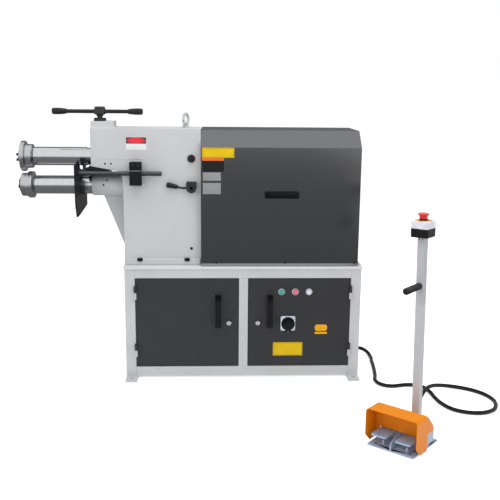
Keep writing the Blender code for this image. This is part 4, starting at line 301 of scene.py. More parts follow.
# Dark cards
# Charcoal cards out of sight, one lying at half the machine's height and two standing behind it. Only gloss
# mirrors them, which gives the shafts and rolls their dark lower halves and thin dark edges.
CARD_GLOW = 0.15
charcoal = bpy.data.materials.new("charcoal_card")
charcoal.use_nodes = True
card_shader = charcoal.node_tree.nodes["Principled BSDF"]
card_shader.inputs["Base Color"].default_value = (0.02, 0.02, 0.02, 1)
card_shader.inputs["Roughness"].default_value = 1.0
card_shader.inputs["Emission Color"].default_value = (1, 1, 1, 1)
card_shader.inputs["Emission Strength"].default_value = CARD_GLOW
for card_name, corners in (
    ("lying_card", ((-2.8, -9.0, 0.53), (1.6, -9.0, 0.53), (1.6, 1.6, 0.53), (-2.8, 1.6, 0.53))),
    ("standing_card", ((-1.8, 1.6, 0.53), (-0.28, 1.6, 0.53), (-0.28, 1.6, 2.9), (-1.8, 1.6, 2.9))),
    ("upper_card", ((-0.28, 1.6, 1.00), (1.4, 1.6, 1.00), (1.4, 1.6, 2.0), (-0.28, 1.6, 2.0))),
):
    card_mesh = bpy.data.meshes.new(card_name)
    card_mesh.from_pydata(corners, [], [(0, 1, 2, 3)])
    card_mesh.materials.append(charcoal)
    dark_card = bpy.data.objects.new(card_name, card_mesh)
    bpy.context.scene.collection.objects.link(dark_card)
    dark_card.visible_camera = False
    dark_card.visible_diffuse = False
    dark_card.visible_transmission = False
    dark_card.visible_volume_scatter = False
    dark_card.visible_shadow = False

# Cabinet
# Box section posts with bolt-down feet, rails, side and back panels and a floor, welded from mild steel, with a
# 12 mm table plate on top. All of it has one light grey powder coat; the table plate's copy of it is painted
# lighter, as painted light for its top and edge under the overhead box.
MACHINE = Matrix.Translation(CORNER)
LIGHT_GREY = (0.560, 0.568, 0.580)
# Painted light: the table plate's grey is the cabinet's light grey made lighter, for the light on its top.
LIT_TABLE_GREY = (0.680, 0.688, 0.700)
EDGE_ROUND = 0.0012
SHARP_EDGE = math.radians(32)


def powder_coat(name, colour, roughness=0.44, peel=0.00010, gloss=0.40):
    """Baked powder paint: a colour that drifts a little over the sheet, under a fine orange peel."""
    made, shader = new_finish(name, colour, roughness, gloss=gloss)
    tint(shader, pattern(shader, 5, detail=4.0), colour, 0.95, 1.04)
    dull(shader, pattern(shader, 40), roughness - 0.05, roughness + 0.07)
    emboss(shader, pattern(shader, 650, detail=1.5), peel, 0.5)
    return made


def ease(obj, round_by):
    """Breaks the sharp edges of a piece with a small round, as on any cut, folded or moulded part."""
    bevel = obj.modifiers.new("broken_edges", "BEVEL")
    bevel.width = round_by
    bevel.segments = 2
    bevel.limit_method = "ANGLE"
    bevel.angle_limit = SHARP_EDGE
    bevel.harden_normals = True


def put(name, form, paint, body, place=MACHINE, stands_for=(), round_by=0.0):
    """Makes a piece of a mesh that is drawn in the coordinates of its place, and lets it ride on a body."""
    bmesh.ops.recalc_face_normals(form, faces=form.faces)
    mesh = bpy.data.meshes.new(name)
    form.to_mesh(mesh)
    form.free()
    mesh.materials.append(paint)
    mesh.shade_smooth()
    mesh.set_sharp_from_angle(angle=SHARP_EDGE)
    obj = bpy.data.objects.new(name, mesh)
    bpy.context.scene.collection.objects.link(obj)
    obj.matrix_world = place
    if round_by:
        ease(obj, round_by)
    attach(obj, body)
    if stands_for:
        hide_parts(*stands_for)
    return obj


def broken_edges(node, paint, body, round_by=EDGE_ROUND):
    """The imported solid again, with flat faces in one piece and its sharp edges broken."""
    form = bmesh.new()
    form.from_mesh(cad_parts[node].data)
    bmesh.ops.remove_doubles(form, verts=form.verts, dist=0.00001)
    bmesh.ops.dissolve_limit(form, angle_limit=math.radians(0.5), verts=form.verts, edges=form.edges)
    return put(f"{node}_finished", form, paint, body, Matrix.Identity(4), (node,), round_by)


light_grey = powder_coat("light_grey_coat", LIGHT_GREY)
for cabinet_node in (
    "post_left",
    "post_right",
    "post_centre",
    "rail_top",
    "cabinet_floor",
    "side_panel_left",
    "side_panel_right",
    "cabinet_back",
):
    broken_edges(cabinet_node, light_grey, "cabinet_and_frame")
# The table plate's lighter grey is painted light, not a different coat.
lit_table_grey = powder_coat("table_grey_coat", LIT_TABLE_GREY)
broken_edges("table_plate", lit_table_grey, "cabinet_and_frame")

# Doors
# Trays folded from 2 mm steel sheet, in dark grey powder coat, on lift-off hinges whose lower halves are welded
# to the posts.
dark_grey = powder_coat("dark_grey_coat", (0.0245, 0.0252, 0.0290), 0.50, 0.00014, 0.30)
broken_edges("door_left", dark_grey, "left_door", 0.0010)
broken_edges("door_right", dark_grey, "right_door", 0.0010)

# Bridge handles
# Black glass-filled nylon handles: one on each door and one on the drive cover. Each is one moulding with two feet
# that are screwed on from the front, under a bar with soft edges.
HANDLE_LENGTH = 0.150
HANDLE_WIDTH = 0.026
HANDLE_REACH = 0.0375
HANDLE_BAR = 0.0125
HANDLE_FOOT = 0.021
HANDLE_STATIONS = 40
HANDLE_ROUND = 28
FOOT_RISE = 0.010
HANDLE_SCREW_INSET = 0.0085
HANDLE_SCREW_SEAT = 0.0178
DOOR_FACE = -0.0003
TO_OPERATOR = (0, -1, 0)


def ring_loft(form, rings, closed_ends=True):
    """Joins rings of points, each with as many points as the next, into one skin."""
    made = [[form.verts.new(point) for point in ring] for ring in rings]
    for first, second in zip(made, made[1:]):
        for index in range(len(first)):
            after = (index + 1) % len(first)
            form.faces.new((first[index], first[after], second[after], second[index]))
    if closed_ends:
        form.faces.new(made[0])
        form.faces.new(made[-1])


def soft_oblong(width, depth, power, count=HANDLE_ROUND):
    """Points round an oblong whose corners are the sharper, the higher the power."""
    points = []
    for index in range(count):
        turn = 2 * math.pi * index / count
        c, s = math.cos(turn), math.sin(turn)
        across = math.copysign(abs(c) ** (2 / power), c) * width / 2
        deep = math.copysign(abs(s) ** (2 / power), s) * depth / 2
        points.append((across, deep))
    return points


def turned_form(form, profile, axis_place, sides=64, wave=None):
    """Revolves (along, radius) points about the Z axis of a place. A first or last radius of zero closes the end.

    Where flutes or ribs run along the form, a third value is their depth and the wave is their share at each side.
    """
    rings = []
    for along, radius, *depth in profile:
        ring = []
        for index in range(sides):
            turn = 2 * math.pi * index / sides
            reach = max(radius, 0.00002) + (depth[0] * wave(index) if wave else 0)
            ring.append(axis_place @ Vector((reach * math.cos(turn), reach * math.sin(turn), along)))
        rings.append(ring)
    ring_loft(form, rings)
    return form


def facing(point, direction):
    """A place at a point whose Z axis runs in a direction."""
    return Matrix.Translation(point) @ Vector(direction).to_track_quat("Z", "Y").to_matrix().to_4x4()


def screw_head(form, place, radius, height, sides=24):
    """A button head screw with a hexagon socket, standing along its place's Z axis."""
    profile = (
        (0, radius * 0.96),
        (height * 0.35, radius),
        (height * 0.75, radius * 0.86),
        (height, radius * 0.62),
        (height, radius * 0.44),
        (height * 0.35, radius * 0.40),
        (height * 0.35, 0),
    )
    turned_form(form, profile, place, sides)


handle_black = moulded("handle_nylon", (0.005, 0.005, 0.006), 0.42, gloss=0.12)


def bridge_handle(name, middle, upright, front, body, node):
    """A bridge handle whose feet stand on the plane at a depth, facing the operator."""
    half = HANDLE_LENGTH / 2
    place = Matrix.Translation((middle[0], front, middle[1])) @ Matrix.Rotation(math.radians(90), 4, "X")
    if upright:
        place = place @ Matrix.Rotation(math.radians(90), 4, "Z")
    rings = []
    for index in range(HANDLE_STATIONS + 1):
        run = -math.cos(math.pi * index / HANDLE_STATIONS)
        end = max(0.0, (abs(run) * half - (half - HANDLE_FOOT)) / HANDLE_FOOT)
        low = (HANDLE_REACH - HANDLE_BAR) * max(0.0, 1 - end * 1.35) ** 0.45
        high = HANDLE_REACH - (HANDLE_REACH - FOOT_RISE) * end**2.6
        outline = soft_oblong(HANDLE_WIDTH * (0.90 + 0.10 * min(1, 1.4 * end)), high - low, 5.0)
        rings.append([place @ Vector((run * (half - 0.0006), a, (high + low) / 2 + b)) for a, b in outline])
    form = bmesh.new()
    ring_loft(form, rings)
    put(name, form, handle_black, body, stands_for=(node,))
    screws = bmesh.new()
    for way in (-1, 1):
        seat = place @ Matrix.Translation((way * (half - HANDLE_SCREW_INSET), 0, HANDLE_SCREW_SEAT))
        turned_form(screws, [(-0.009, 0.0070), (0.0005, 0.0070), (0.0009, 0.0064), (0.0009, 0)], seat, 28)
    put(f"{name}_screw_caps", screws, handle_black, body)


bridge_handle("left_door_grip", (0.4127, 0.3125), True, DOOR_FACE, "left_door", "door_handle_left")
bridge_handle("right_door_grip", (0.6430, 0.3125), True, DOOR_FACE, "right_door", "door_handle_right")
bridge_handle("cover_grip", (0.6900, 0.8362), False, 0.0093, "cabinet_and_frame", "cover_handle")

# Cam locks
# Chrome plated zinc quarter-turn locks in both doors: a round head with a recessed barrel and key slot, a threaded
# shank with its nut behind the door, and a steel cam that points up while the door is unlocked.
LOCK_HEIGHT = 0.260
LOCK_HEAD_RADIUS = 0.0124
LOCK_HEAD_HEIGHT = 0.0067
LOCK_BARREL_HEIGHT = 0.92 * LOCK_HEAD_HEIGHT
LOCK_SHANK_RADIUS = 0.0088
CAM_FACE = 0.0415
CAM_THICKNESS = 0.003
CAM_WIDTH = 0.016
CAM_REACH = 0.054


def plated(name, colour, smooth, rough, grain=180, metallic=1.0, gloss=0.5):
    """Plated or bright metal: cloudy gloss with fine handling marks."""
    made, shader = new_finish(name, colour, smooth, metallic, gloss)
    tint(shader, pattern(shader, 30), colour, 0.88, 1.06)
    dull(shader, pattern(shader, grain), smooth, rough)
    emboss(shader, pattern(shader, 2200, (1, 1, 0.1), 1.0), 0.00002, 0.4)
    return made


def arc(centre, radius, first, last, steps):
    """Points of an arc from one angle to another, in degrees."""
    turns = [math.radians(first + (last - first) * step / steps) for step in range(steps + 1)]
    return [(centre[0] + radius * math.cos(turn), centre[1] + radius * math.sin(turn)) for turn in turns]


def upright_plate(form, outline, *depths):
    """A plate whose outline is drawn across and up, from one depth to another."""
    ring_loft(form, [[(across, depth, height) for across, height in outline] for depth in depths])
    return form


def block(form, size, place):
    """A block of a size round the middle of a place."""
    bmesh.ops.create_cube(form, size=1, matrix=place @ Matrix.Diagonal((*size, 1)))
    return form


chrome = plated("lock_chrome", (0.40, 0.41, 0.43), 0.16, 0.30)
# The key slot's near-black colour is painted shade standing for the depth of the slot.
slot_shade_paint = moulded("lock_slot_shadow", (0.010, 0.010, 0.010), 0.6)
for side, across in (("left", 0.4607), ("right", 0.5900)):
    lock = turned_form(
        bmesh.new(),
        (
            (-(CAM_FACE + CAM_THICKNESS + DOOR_FACE), 0),
            (-(CAM_FACE + CAM_THICKNESS + DOOR_FACE), 0.0060),
            (-CAM_FACE, 0.0060),
            (-CAM_FACE, 0.0105),
            (-0.0300, 0.0105),
            (-0.0300, LOCK_SHANK_RADIUS),
            (0, LOCK_SHANK_RADIUS),
            (0, LOCK_HEAD_RADIUS),
            (0.55 * LOCK_HEAD_HEIGHT, LOCK_HEAD_RADIUS),
            (0.90 * LOCK_HEAD_HEIGHT, 0.90 * LOCK_HEAD_RADIUS),
            (LOCK_HEAD_HEIGHT, 0.78 * LOCK_HEAD_RADIUS),
            (0.78 * LOCK_HEAD_HEIGHT, 0.70 * LOCK_HEAD_RADIUS),
            (0.78 * LOCK_HEAD_HEIGHT, 0.58 * LOCK_HEAD_RADIUS),
            (LOCK_BARREL_HEIGHT, 0.54 * LOCK_HEAD_RADIUS),
            (LOCK_BARREL_HEIGHT, 0),
        ),
        facing((across, DOOR_FACE, LOCK_HEIGHT), TO_OPERATOR),
        48,
    )
    cam = arc((across, LOCK_HEIGHT), CAM_WIDTH / 2, 180, 360, 10)
    cam += arc((across, LOCK_HEIGHT + CAM_REACH - CAM_WIDTH / 3), CAM_WIDTH / 3, 0, 180, 8)
    upright_plate(lock, cam, CAM_FACE, CAM_FACE + CAM_THICKNESS)
    put(f"{side}_lock", lock, chrome, f"{side}_lock", stands_for=(f"cam_lock_{side}",), round_by=0.0003)
    # Painted shade: the slot is a thin near-black block on the barrel's face, not a cut recess.
    slot_place = Matrix.Translation((across, DOOR_FACE - LOCK_BARREL_HEIGHT, LOCK_HEIGHT))
    key_slot = block(bmesh.new(), (0.0024, 0.0004, 0.0092), slot_place)
    put(f"{side}_lock_slot", key_slot, slot_shade_paint, f"{side}_lock")

# Push buttons and lamp
# Two push buttons, green and red, and a white lamp, each a domed plastic cap in a bright bezel ring. The caps'
# radii are shares of the cap's own.
BUTTON_HEIGHT = 0.4024
BEZEL_RADIUS = 0.0155
BEZEL_HEIGHT = 0.0062
CAP_RADIUS = 0.0114
PUSH_CAP = (
    (-0.0395, 0),
    (-0.0395, 0.96),
    (0.0078, 0.99),
    (0.0092, 0.93),
    (0.0104, 0.78),
    (0.0108, 0.50),
    (0.0102, 0.22),
    (0.0100, 0),
)
LAMP_LENS = (
    (0.0004, 0),
    (0.0004, 0.96),
    (0.0078, 1.06),
    (0.0104, 1.05),
    (0.0118, 0.78),
    (0.0122, 0.50),
    (0.0125, 0.22),
    (0.0126, 0),
)


def glossy_plastic(name, colour, roughness=0.16):
    """Clear-coated moulded plastic, a little cloudy inside."""
    made, shader = new_finish(name, colour, roughness)
    tint(shader, pattern(shader, 60), colour, 0.86, 1.12)
    dull(shader, pattern(shader, 220), roughness, roughness + 0.08)
    shader.inputs["Coat Weight"].default_value = 0.6
    shader.inputs["Coat Roughness"].default_value = 0.08
    return made


bezel_metal = plated("bezel_chrome", (0.62, 0.68, 0.78), 0.20, 0.32, metallic=0.35)
for label, part, across, colour, cap_shape, body, slot, solids in (
    ("start", "cap", 0.6951, (0.030, 0.330, 0.240), PUSH_CAP, "start_push", "green_plastic", ("start_button",)),
    ("stop", "cap", 0.7563, (0.780, 0.100, 0.160), PUSH_CAP, "stop_push", "red_plastic", ("stop_button",)),
    ("power_lamp", "lens", 0.8175, (0.760, 0.790, 0.830), LAMP_LENS, "right_door", "black_plastic", ()),
):
    seat = facing((across, 0, BUTTON_HEIGHT), TO_OPERATOR)
    bezel = turned_form(
        bmesh.new(),
        (
            (0.0006, CAP_RADIUS + 0.0008),
            (BEZEL_HEIGHT - 0.0006, CAP_RADIUS + 0.0004),
            (BEZEL_HEIGHT, CAP_RADIUS + 0.0010),
            (BEZEL_HEIGHT * 0.85, BEZEL_RADIUS - 0.0016),
            (BEZEL_HEIGHT * 0.45, BEZEL_RADIUS - 0.0002),
            (0.0003, BEZEL_RADIUS),
            (0.0003, CAP_RADIUS + 0.0012),
        ),
        seat,
        48,
    )
    put(f"{label}_bezel", bezel, bezel_metal, "right_door")
    cap = turned_form(bmesh.new(), [(along, CAP_RADIUS * share) for along, share in cap_shape], seat, 48)
    cap_plastic = glossy_plastic(f"{label}_cap_plastic", colour)
    put(f"{label}_{part}", cap, cap_plastic, body, stands_for=solids)

# Main switch
# A rotary isolator: a brushed aluminium face plate, a round black collar and a fluted black knob whose pointer hangs
# over the plate's lower edge. The marks on the plate are plain ticks.
SWITCH_X, SWITCH_Z = 0.7260, 0.2555
PLATE_X, PLATE_Z = 0.7254, 0.2583
PLATE_HALF_WIDTH = 0.0330
PLATE_HALF_HEIGHT = 0.0342
PLATE_FACE = -0.0062
KNOB_RADIUS = 0.0302
KNOB_SIDES = 96
KNOB_FLUTES = 12
TICK_RADIUS = 0.0325
PLATE_SCREW_INSET = 0.0052

plate_metal = plated("switch_plate_aluminium", (0.47, 0.50, 0.56), 0.26, 0.40, 400)
plate_outline = [
    (PLATE_X + a, PLATE_Z + b) for a, b in soft_oblong(2 * PLATE_HALF_WIDTH, 2 * PLATE_HALF_HEIGHT, 16.0, 48)
]
plate = upright_plate(bmesh.new(), plate_outline, DOOR_FACE, PLATE_FACE)
put("switch_face_plate", plate, plate_metal, "right_door", round_by=0.0006)
mark_print = moulded("switch_mark_print", (0.02, 0.03, 0.05), 0.5)
marks = bmesh.new()
for turn in (-50, -25, 0, 25, 50):
    tick_place = Matrix.Translation((SWITCH_X, PLATE_FACE, SWITCH_Z)) @ Matrix.Rotation(math.radians(turn), 4, "Y")
    block(marks, (0.0012, 0.0003, 0.0042), tick_place @ Matrix.Translation((0, 0, TICK_RADIUS)))
for way_x, way_z in ((-1, -1), (-1, 1), (1, -1), (1, 1)):
    across = PLATE_X + way_x * (PLATE_HALF_WIDTH - PLATE_SCREW_INSET)
    height = PLATE_Z + way_z * (PLATE_HALF_HEIGHT - PLATE_SCREW_INSET)
    screw_head(marks, facing((across, PLATE_FACE - 0.0002, height), TO_OPERATOR), 0.0022, 0.0012, 16)
put("switch_marks", marks, mark_print, "right_door")
knob = turned_form(
    bmesh.new(),
    (
        (-0.0395, 0, 0),
        (-0.0395, 0.0056, 0),
        (-0.0055, 0.0056, 0),
        (0.0064, 0.0056, 0),
        (0.0064, KNOB_RADIUS, 0),
        (0.0120, KNOB_RADIUS, 0),
        (0.0134, KNOB_RADIUS - 0.0012, 0),
        (0.0136, KNOB_RADIUS - 0.0036, 0.0004),
        (0.0260, KNOB_RADIUS - 0.0046, 0.0011),
        (0.0292, KNOB_RADIUS - 0.0062, 0.0010),
        (0.0300, KNOB_RADIUS - 0.0090, 0.0004),
        (0.0300, 0, 0),
    ),
    facing((SWITCH_X, 0, SWITCH_Z), TO_OPERATOR),
    KNOB_SIDES,
    lambda index: -(1 + math.cos(KNOB_FLUTES * 2 * math.pi * index / KNOB_SIDES)) / 2,
)
pointer_half = ((0.0235, -0.0150), (0.0120, -0.0290), (0.0030, -0.0455))
pointer = [(-a, b) for a, b in pointer_half] + [(a, b) for a, b in reversed(pointer_half)]
upright_plate(knob, [(SWITCH_X + a, SWITCH_Z + b) for a, b in pointer], -0.0068, -0.0116)
put(
    "main_switch_grip",
    knob,
    handle_black,
    "switch_knob",
    stands_for=("main_switch_knob",),
    round_by=0.0005,
)
white_print = moulded("white_print", (0.70, 0.71, 0.72), 0.5)
line_place = Matrix.Translation((SWITCH_X, -0.0118, SWITCH_Z - 0.0368))
pointer_line = block(bmesh.new(), (0.0012, 0.0004, 0.0095), line_place)
put("switch_pointer_line", pointer_line, white_print, "switch_knob")

# Blank label plates
# Thin plates without any print, glued on: on the right door a yellow one with its border, and an amber field over
# a strip. They stand 0.4 mm proud.
LABEL_THICKNESS = 0.0004
FILM_THICKNESS = 0.0001


def label_plate(name, low, high, face, paint, body, slot="black_plastic", corner=0.0015, lift=LABEL_THICKNESS):
    """A thin plate with round corners on a face that looks at the operator."""
    middle = ((low[0] + high[0]) / 2, (low[1] + high[1]) / 2)
    inner_x, inner_z = (high[0] - low[0]) / 2 - corner, (high[1] - low[1]) / 2 - corner
    outline = []
    for way_x, way_z, start in ((1, 1, 0), (-1, 1, 90), (-1, -1, 180), (1, -1, 270)):
        outline += arc((middle[0] + way_x * inner_x, middle[1] + way_z * inner_z), corner, start, start + 90, 4)
    put(name, upright_plate(bmesh.new(), outline, face, face - lift), paint, body)


def printed_film(name, colour, roughness=0.35):
    """Printed vinyl film, a little uneven and worn duller in patches."""
    made, shader = new_finish(name, colour, roughness, gloss=0.2)
    tint(shader, pattern(shader, 18, detail=5.0), colour, 0.93, 1.04)
    dull(shader, pattern(shader, 90), roughness, roughness + 0.18)
    return made


yellow_film = printed_film("yellow_film", (0.760, 0.510, 0.006))
amber_film = printed_film("amber_film", (0.900, 0.430, 0.010))
border_film = printed_film("border_print", (0.110, 0.075, 0.010))


def bordered_label(name, low, high, face, paint, body, inset=0.0035, line=0.0009):
    """A label plate with a thin dark frame printed round it."""
    label_plate(name, low, high, face, paint, body)
    skin = face - LABEL_THICKNESS
    for part, film, edge in (("border", border_film, inset), ("field", paint, inset + line)):
        rim = (low[0] + edge, low[1] + edge), (high[0] - edge, high[1] - edge)
        label_plate(f"{name}_{part}", *rim, skin, film, body, corner=0.001, lift=FILM_THICKNESS)
        skin -= FILM_THICKNESS


bordered_label("door_yellow_label", (0.6602, 0.1050), (0.7931, 0.1670), -0.0001, yellow_film, "right_door")
label_plate("door_amber_label", (0.8476, 0.2200), (0.9036, 0.2500), -0.0001, amber_film, "right_door", corner=0.012)
label_plate("door_amber_strip", (0.8476, 0.2060), (0.9036, 0.2157), -0.0001, amber_film, "right_door", corner=0.003)

# Machine frame
# A welded box of 12 mm plate: two side plates with the arm over the throat, the top with its raised block, the
# throat plate and the bearing plate, ground flush and powder coated with the cabinet's light grey.
FRAME_FRONT = 0.0425
FRAME_BACK = 0.2225
SHAFT_DEPTH = 0.1325
UPPER_SHAFT_HEIGHT = 0.988
LOWER_SHAFT_HEIGHT = 0.862
RAISED_BLOCK_FOOT = 1.130
RAISED_BLOCK_SINK = 0.0042

frame_grey = powder_coat("frame_grey_coat", (0.560, 0.567, 0.578), 0.40, 0.00014)
frame_top = broken_edges("frame_top_plate", frame_grey, "cabinet_and_frame", 0.0015)
for corner in frame_top.data.vertices:
    if corner.co.z > RAISED_BLOCK_FOOT:
        corner.co.z -= RAISED_BLOCK_SINK
for frame_node in (
    "frame_front_plate",
    "frame_rear_plate",
    "frame_throat_plate",
    "frame_bearing_plate",
    "lower_shaft_housing",
):
    broken_edges(frame_node, frame_grey, "cabinet_and_frame", 0.0015)

# Weld seams
# Hand-laid fillet welds under the paint, with the ripples of each pass: round the lower housing, along its gusset
# and along the frame's foot.
WELD_RADIUS = 0.0034
WELD_STEP = 0.0042
WELD_SIDES = 8
RIPPLE = 0.14
UNEVENNESS = 0.10
SEAM_END = 0.35
FOOT_SEAM = 0.5185
GUSSET_SEAM = 0.8165


def swept_form(form, spots, radii, sides):
    """Sweeps a circle along a line of points, with its own radius at each."""
    rings = []
    for index, (spot, radius) in enumerate(zip(spots, radii)):
        ahead = spots[min(index + 1, len(spots) - 1)] - spots[max(index - 1, 0)]
        turn = ahead.to_track_quat("Z", "Y").to_matrix()
        steps = [2 * math.pi * k / sides for k in range(sides)]
        rings.append([spot + turn @ Vector((radius * math.cos(a), radius * math.sin(a), 0)) for a in steps])
    ring_loft(form, rings)
    return form


def weld_seam(name, line, radius=WELD_RADIUS):
    """A rippled bead along a line of points, thin at both ends."""
    line = [Vector(point) for point in line]
    spots = []
    for a, b in zip(line, line[1:]):
        count = max(1, round((b - a).length / (WELD_STEP / 3)))
        spots += [a.lerp(b, i / count) for i in range(count)]
    spots.append(line[-1])
    radii = [
        radius * (1 - RIPPLE + RIPPLE * math.cos(2 * math.pi * index / 3) + UNEVENNESS * noise.noise(spot * 90))
        for index, spot in enumerate(spots)
    ]
    radii[0] *= SEAM_END
    radii[-1] *= SEAM_END
    seam = swept_form(bmesh.new(), spots, radii, WELD_SIDES)
    put(name, seam, frame_grey, "cabinet_and_frame")


weld_seam("housing_weld", [(0.0, y, z) for y, z in arc((SHAFT_DEPTH, LOWER_SHAFT_HEIGHT), 0.0478, 0, 360, 60)])
for row, depth in (("front", 0.1258), ("back", 0.1392)):
    weld_seam(f"gusset_weld_{row}", [(-0.0005, depth, 0.575), (-0.0005, depth, 0.812)], 0.0028)
    weld_seam(f"gusset_top_weld_{row}", [(-0.092, depth, GUSSET_SEAM), (-0.004, depth, GUSSET_SEAM)], 0.0024)
for row, depth in (("front", FRAME_FRONT), ("back", FRAME_BACK)):
    weld_seam(f"frame_foot_weld_{row}", [(0.004, depth, FOOT_SEAM), (0.333, depth, FOOT_SEAM)], 0.0030)
weld_seam("frame_left_foot_weld", [(0.0, 0.046, FOOT_SEAM), (0.0, 0.219, FOOT_SEAM)], 0.0030)
weld_seam("raised_block_weld", [(-0.0405, 0.0790, 1.1168), (-0.0405, 0.1860, 1.1168)], 0.0022)
weld_seam("arm_side_seam", [(-0.0960, 0.0424, 0.9862), (0.0900, 0.0424, 0.9862)], 0.0019)

# Fasteners on the frame
# Black oxide steel: set screws that clamp the bearings, the trunnion's hex nut, a rubber plug, and a low bar along
# each foot of the frame whose bolts hold it down on the table.
FOOT_BAR_PROUD = 0.0080
TRUNNION_X = 0.296
HEXAGON = 6


def block_between(form, first, second):
    """A block between two opposite corners."""
    first, second = Vector(first), Vector(second)
    return block(form, [abs(side) for side in second - first], Matrix.Translation((first + second) / 2))


black_oxide = plated("black_oxide_skin", (0.026, 0.026, 0.029), 0.30, 0.46, metallic=0.55)
plug_rubber = moulded("rubber_plug_skin", (0.016, 0.016, 0.017), 0.6)
set_screw_black = plated("set_screw_skin", (0.008, 0.008, 0.009), 0.45, 0.60, metallic=0.2)
set_screws = bmesh.new()
for across in (-0.0763, -0.0505):
    screw_head(set_screws, facing((across, FRAME_FRONT, 0.9641), TO_OPERATOR), 0.0042, 0.0006, 16)
for across, angle in ((-0.0765, 31), (-0.0915, 6)):
    turn = math.radians(180 + angle)
    outward = (0, math.cos(turn), -math.sin(turn))
    spot = Vector((across, SHAFT_DEPTH, LOWER_SHAFT_HEIGHT)) + Vector(outward) * 0.0468
    screw_head(set_screws, facing(spot, outward), 0.0042, 0.0007, 16)
put("clamping_set_screws", set_screws, set_screw_black, "cabinet_and_frame")
hardware = bmesh.new()
trunnion = facing((TRUNNION_X, FRAME_FRONT, UPPER_SHAFT_HEIGHT), TO_OPERATOR)
washer = ((-0.001, 0.0172), (0.0022, 0.0172), (0.0026, 0.0168), (0.0026, 0.0075))
hex_nut = ((0.0024, 0.0150), (0.0105, 0.0150), (0.0122, 0.0135), (0.0122, 0.0070), (0.0100, 0.0064))
stud = ((-0.004, 0.0064), (0.0136, 0.0064), (0.0146, 0.0054), (0.0146, 0))
for profile, sides in ((washer, 40), (hex_nut, HEXAGON), (stud, 32)):
    turned_form(hardware, profile, trunnion, sides)
put("frame_screws_and_nut", hardware, black_oxide, "cabinet_and_frame", round_by=0.0003)
plug = turned_form(
    bmesh.new(),
    ((-0.006, 0.0046), (0.0002, 0.0046), (0.0002, 0.0066), (0.0014, 0.0062), (0.0020, 0.0046), (0.0020, 0)),
    facing((0.2945, FRAME_FRONT, 0.5909), TO_OPERATOR),
    32,
)
put("frame_plug", plug, plug_rubber, "cabinet_and_frame")
clamp_zinc = plated("clamp_zinc", (0.56, 0.57, 0.60), 0.32, 0.50, 300)
hold_down_bolt = ((-0.002, 0.0085), (0.0060, 0.0085), (0.0072, 0.0078), (0.0072, 0))
oval_washer = ((-0.002, 0.0082), (0.0020, 0.0082), (0.0026, 0.0076), (0.0026, 0))
for row, face, way in (("front", FRAME_FRONT, -1), ("rear", FRAME_BACK, 1)):
    proud = face + way * FOOT_BAR_PROUD
    foot_bar = block_between(bmesh.new(), (0.0040, face, 0.5178), (0.3350, proud, 0.5470))
    put(f"foot_bar_{row}", foot_bar, frame_grey, "cabinet_and_frame", round_by=0.0040)
    bolts = bmesh.new()
    for across in (0.0672, 0.2752):
        bolt_place = facing((across, proud, 0.5420), (0, way, 0))
        turned_form(bolts, hold_down_bolt, bolt_place, HEXAGON)
        for washer_end in (-0.0046, 0.0046):
            turned_form(bolts, oval_washer, bolt_place @ Matrix.Translation((washer_end, 0, 0)), 24)
    put(f"hold_down_bolts_{row}", bolts, set_screw_black, "cabinet_and_frame", round_by=0.0003)

# Frame's blank name plate
# A small white plate with a plain dark band and a plain red oval field, glued to the frame's front.
OVAL_X, OVAL_Z = 0.0592, 1.0646
OVAL_HALF_WIDTH = 0.0392
OVAL_HALF_HEIGHT = 0.0116
plate_white = printed_film("plate_white", (0.780, 0.790, 0.800))
plate_dark = printed_film("plate_dark", (0.045, 0.050, 0.055))
plate_red = printed_film("plate_red", (0.800, 0.040, 0.060))
label_face = FRAME_FRONT - LABEL_THICKNESS
for name, low, high, face, film, lift in (
    ("frame_label", (0.0157, 1.0250), (0.1028, 1.0787), FRAME_FRONT, plate_white, LABEL_THICKNESS),
    ("frame_label_band", (0.0163, 1.0511), (0.1022, 1.0781), label_face, plate_dark, FILM_THICKNESS),
):
    label_plate(name, low, high, face, film, "cabinet_and_frame", corner=0.001, lift=lift)
oval_outline = [
    (OVAL_X + OVAL_HALF_WIDTH * math.cos(turn), OVAL_Z + OVAL_HALF_HEIGHT * math.sin(turn))
    for turn in (2 * math.pi * step / 48 for step in range(48))
]
oval = upright_plate(bmesh.new(), oval_outline, label_face - FILM_THICKNESS, label_face - 3 * FILM_THICKNESS)
put("frame_label_field", oval, plate_red, "cabinet_and_frame")

# Shafts
# Two shafts of ground chromium steel, a little thicker outside the frame than in their bearings. The lathe and
# grinder marks run round them. The rest of them, with the gears and the coupling, is inside the frame and cover.
SHAFT_SHOWN = 0.0405
ALONG_SHAFTS = (1, 0, 0)


def turned_metal(name, colour, smooth, rough, ring_depth=0.000003):
    """Turned or ground metal: fine rings round the shafts' direction, and a gloss that varies along it."""
    made, shader = new_finish(name, colour, smooth, 1.0)
    along = (1, 0.02, 0.02)
    rings = pattern(shader, 420, along, 2.0)
    tint(shader, pattern(shader, 36, along, 4.0), colour, 0.95, 1.02)
    dull(shader, rings, smooth, rough)
    emboss(shader, pattern(shader, 1500, along, 1.0), ring_depth, 0.5)
    return made


ground_steel = turned_metal("ground_shaft_steel", (0.655, 0.660, 0.675), 0.15, 0.21)
for shaft_node, body, height, right_end, shown_end in (
    ("upper_shaft", "upper_shaft_set", UPPER_SHAFT_HEIGHT, 0.321, -0.1650),
    ("lower_shaft", "lower_shaft_set", LOWER_SHAFT_HEIGHT, 0.419, -0.1455),
):
    shaft = turned_form(
        bmesh.new(),
        (
            (-0.4470, 0),
            (-0.4470, 0.0208),
            (-0.4458, 0.0220),
            (-0.3942, 0.0220),
            (-0.3942, 0.0399),
            (-0.3936, SHAFT_SHOWN),
            (shown_end, SHAFT_SHOWN),
            (shown_end, 0.0375),
            (-0.0606, 0.0375),
            (-0.0600, 0.0369),
            (-0.0600, 0.0250),
            (right_end - 0.002, 0.0250),
            (right_end, 0.0230),
            (right_end, 0),
        ),
        facing((0, SHAFT_DEPTH, height), ALONG_SHAFTS),
        96,
    )
    put(f"{shaft_node}_ground", shaft, ground_steel, body, stands_for=(shaft_node,))

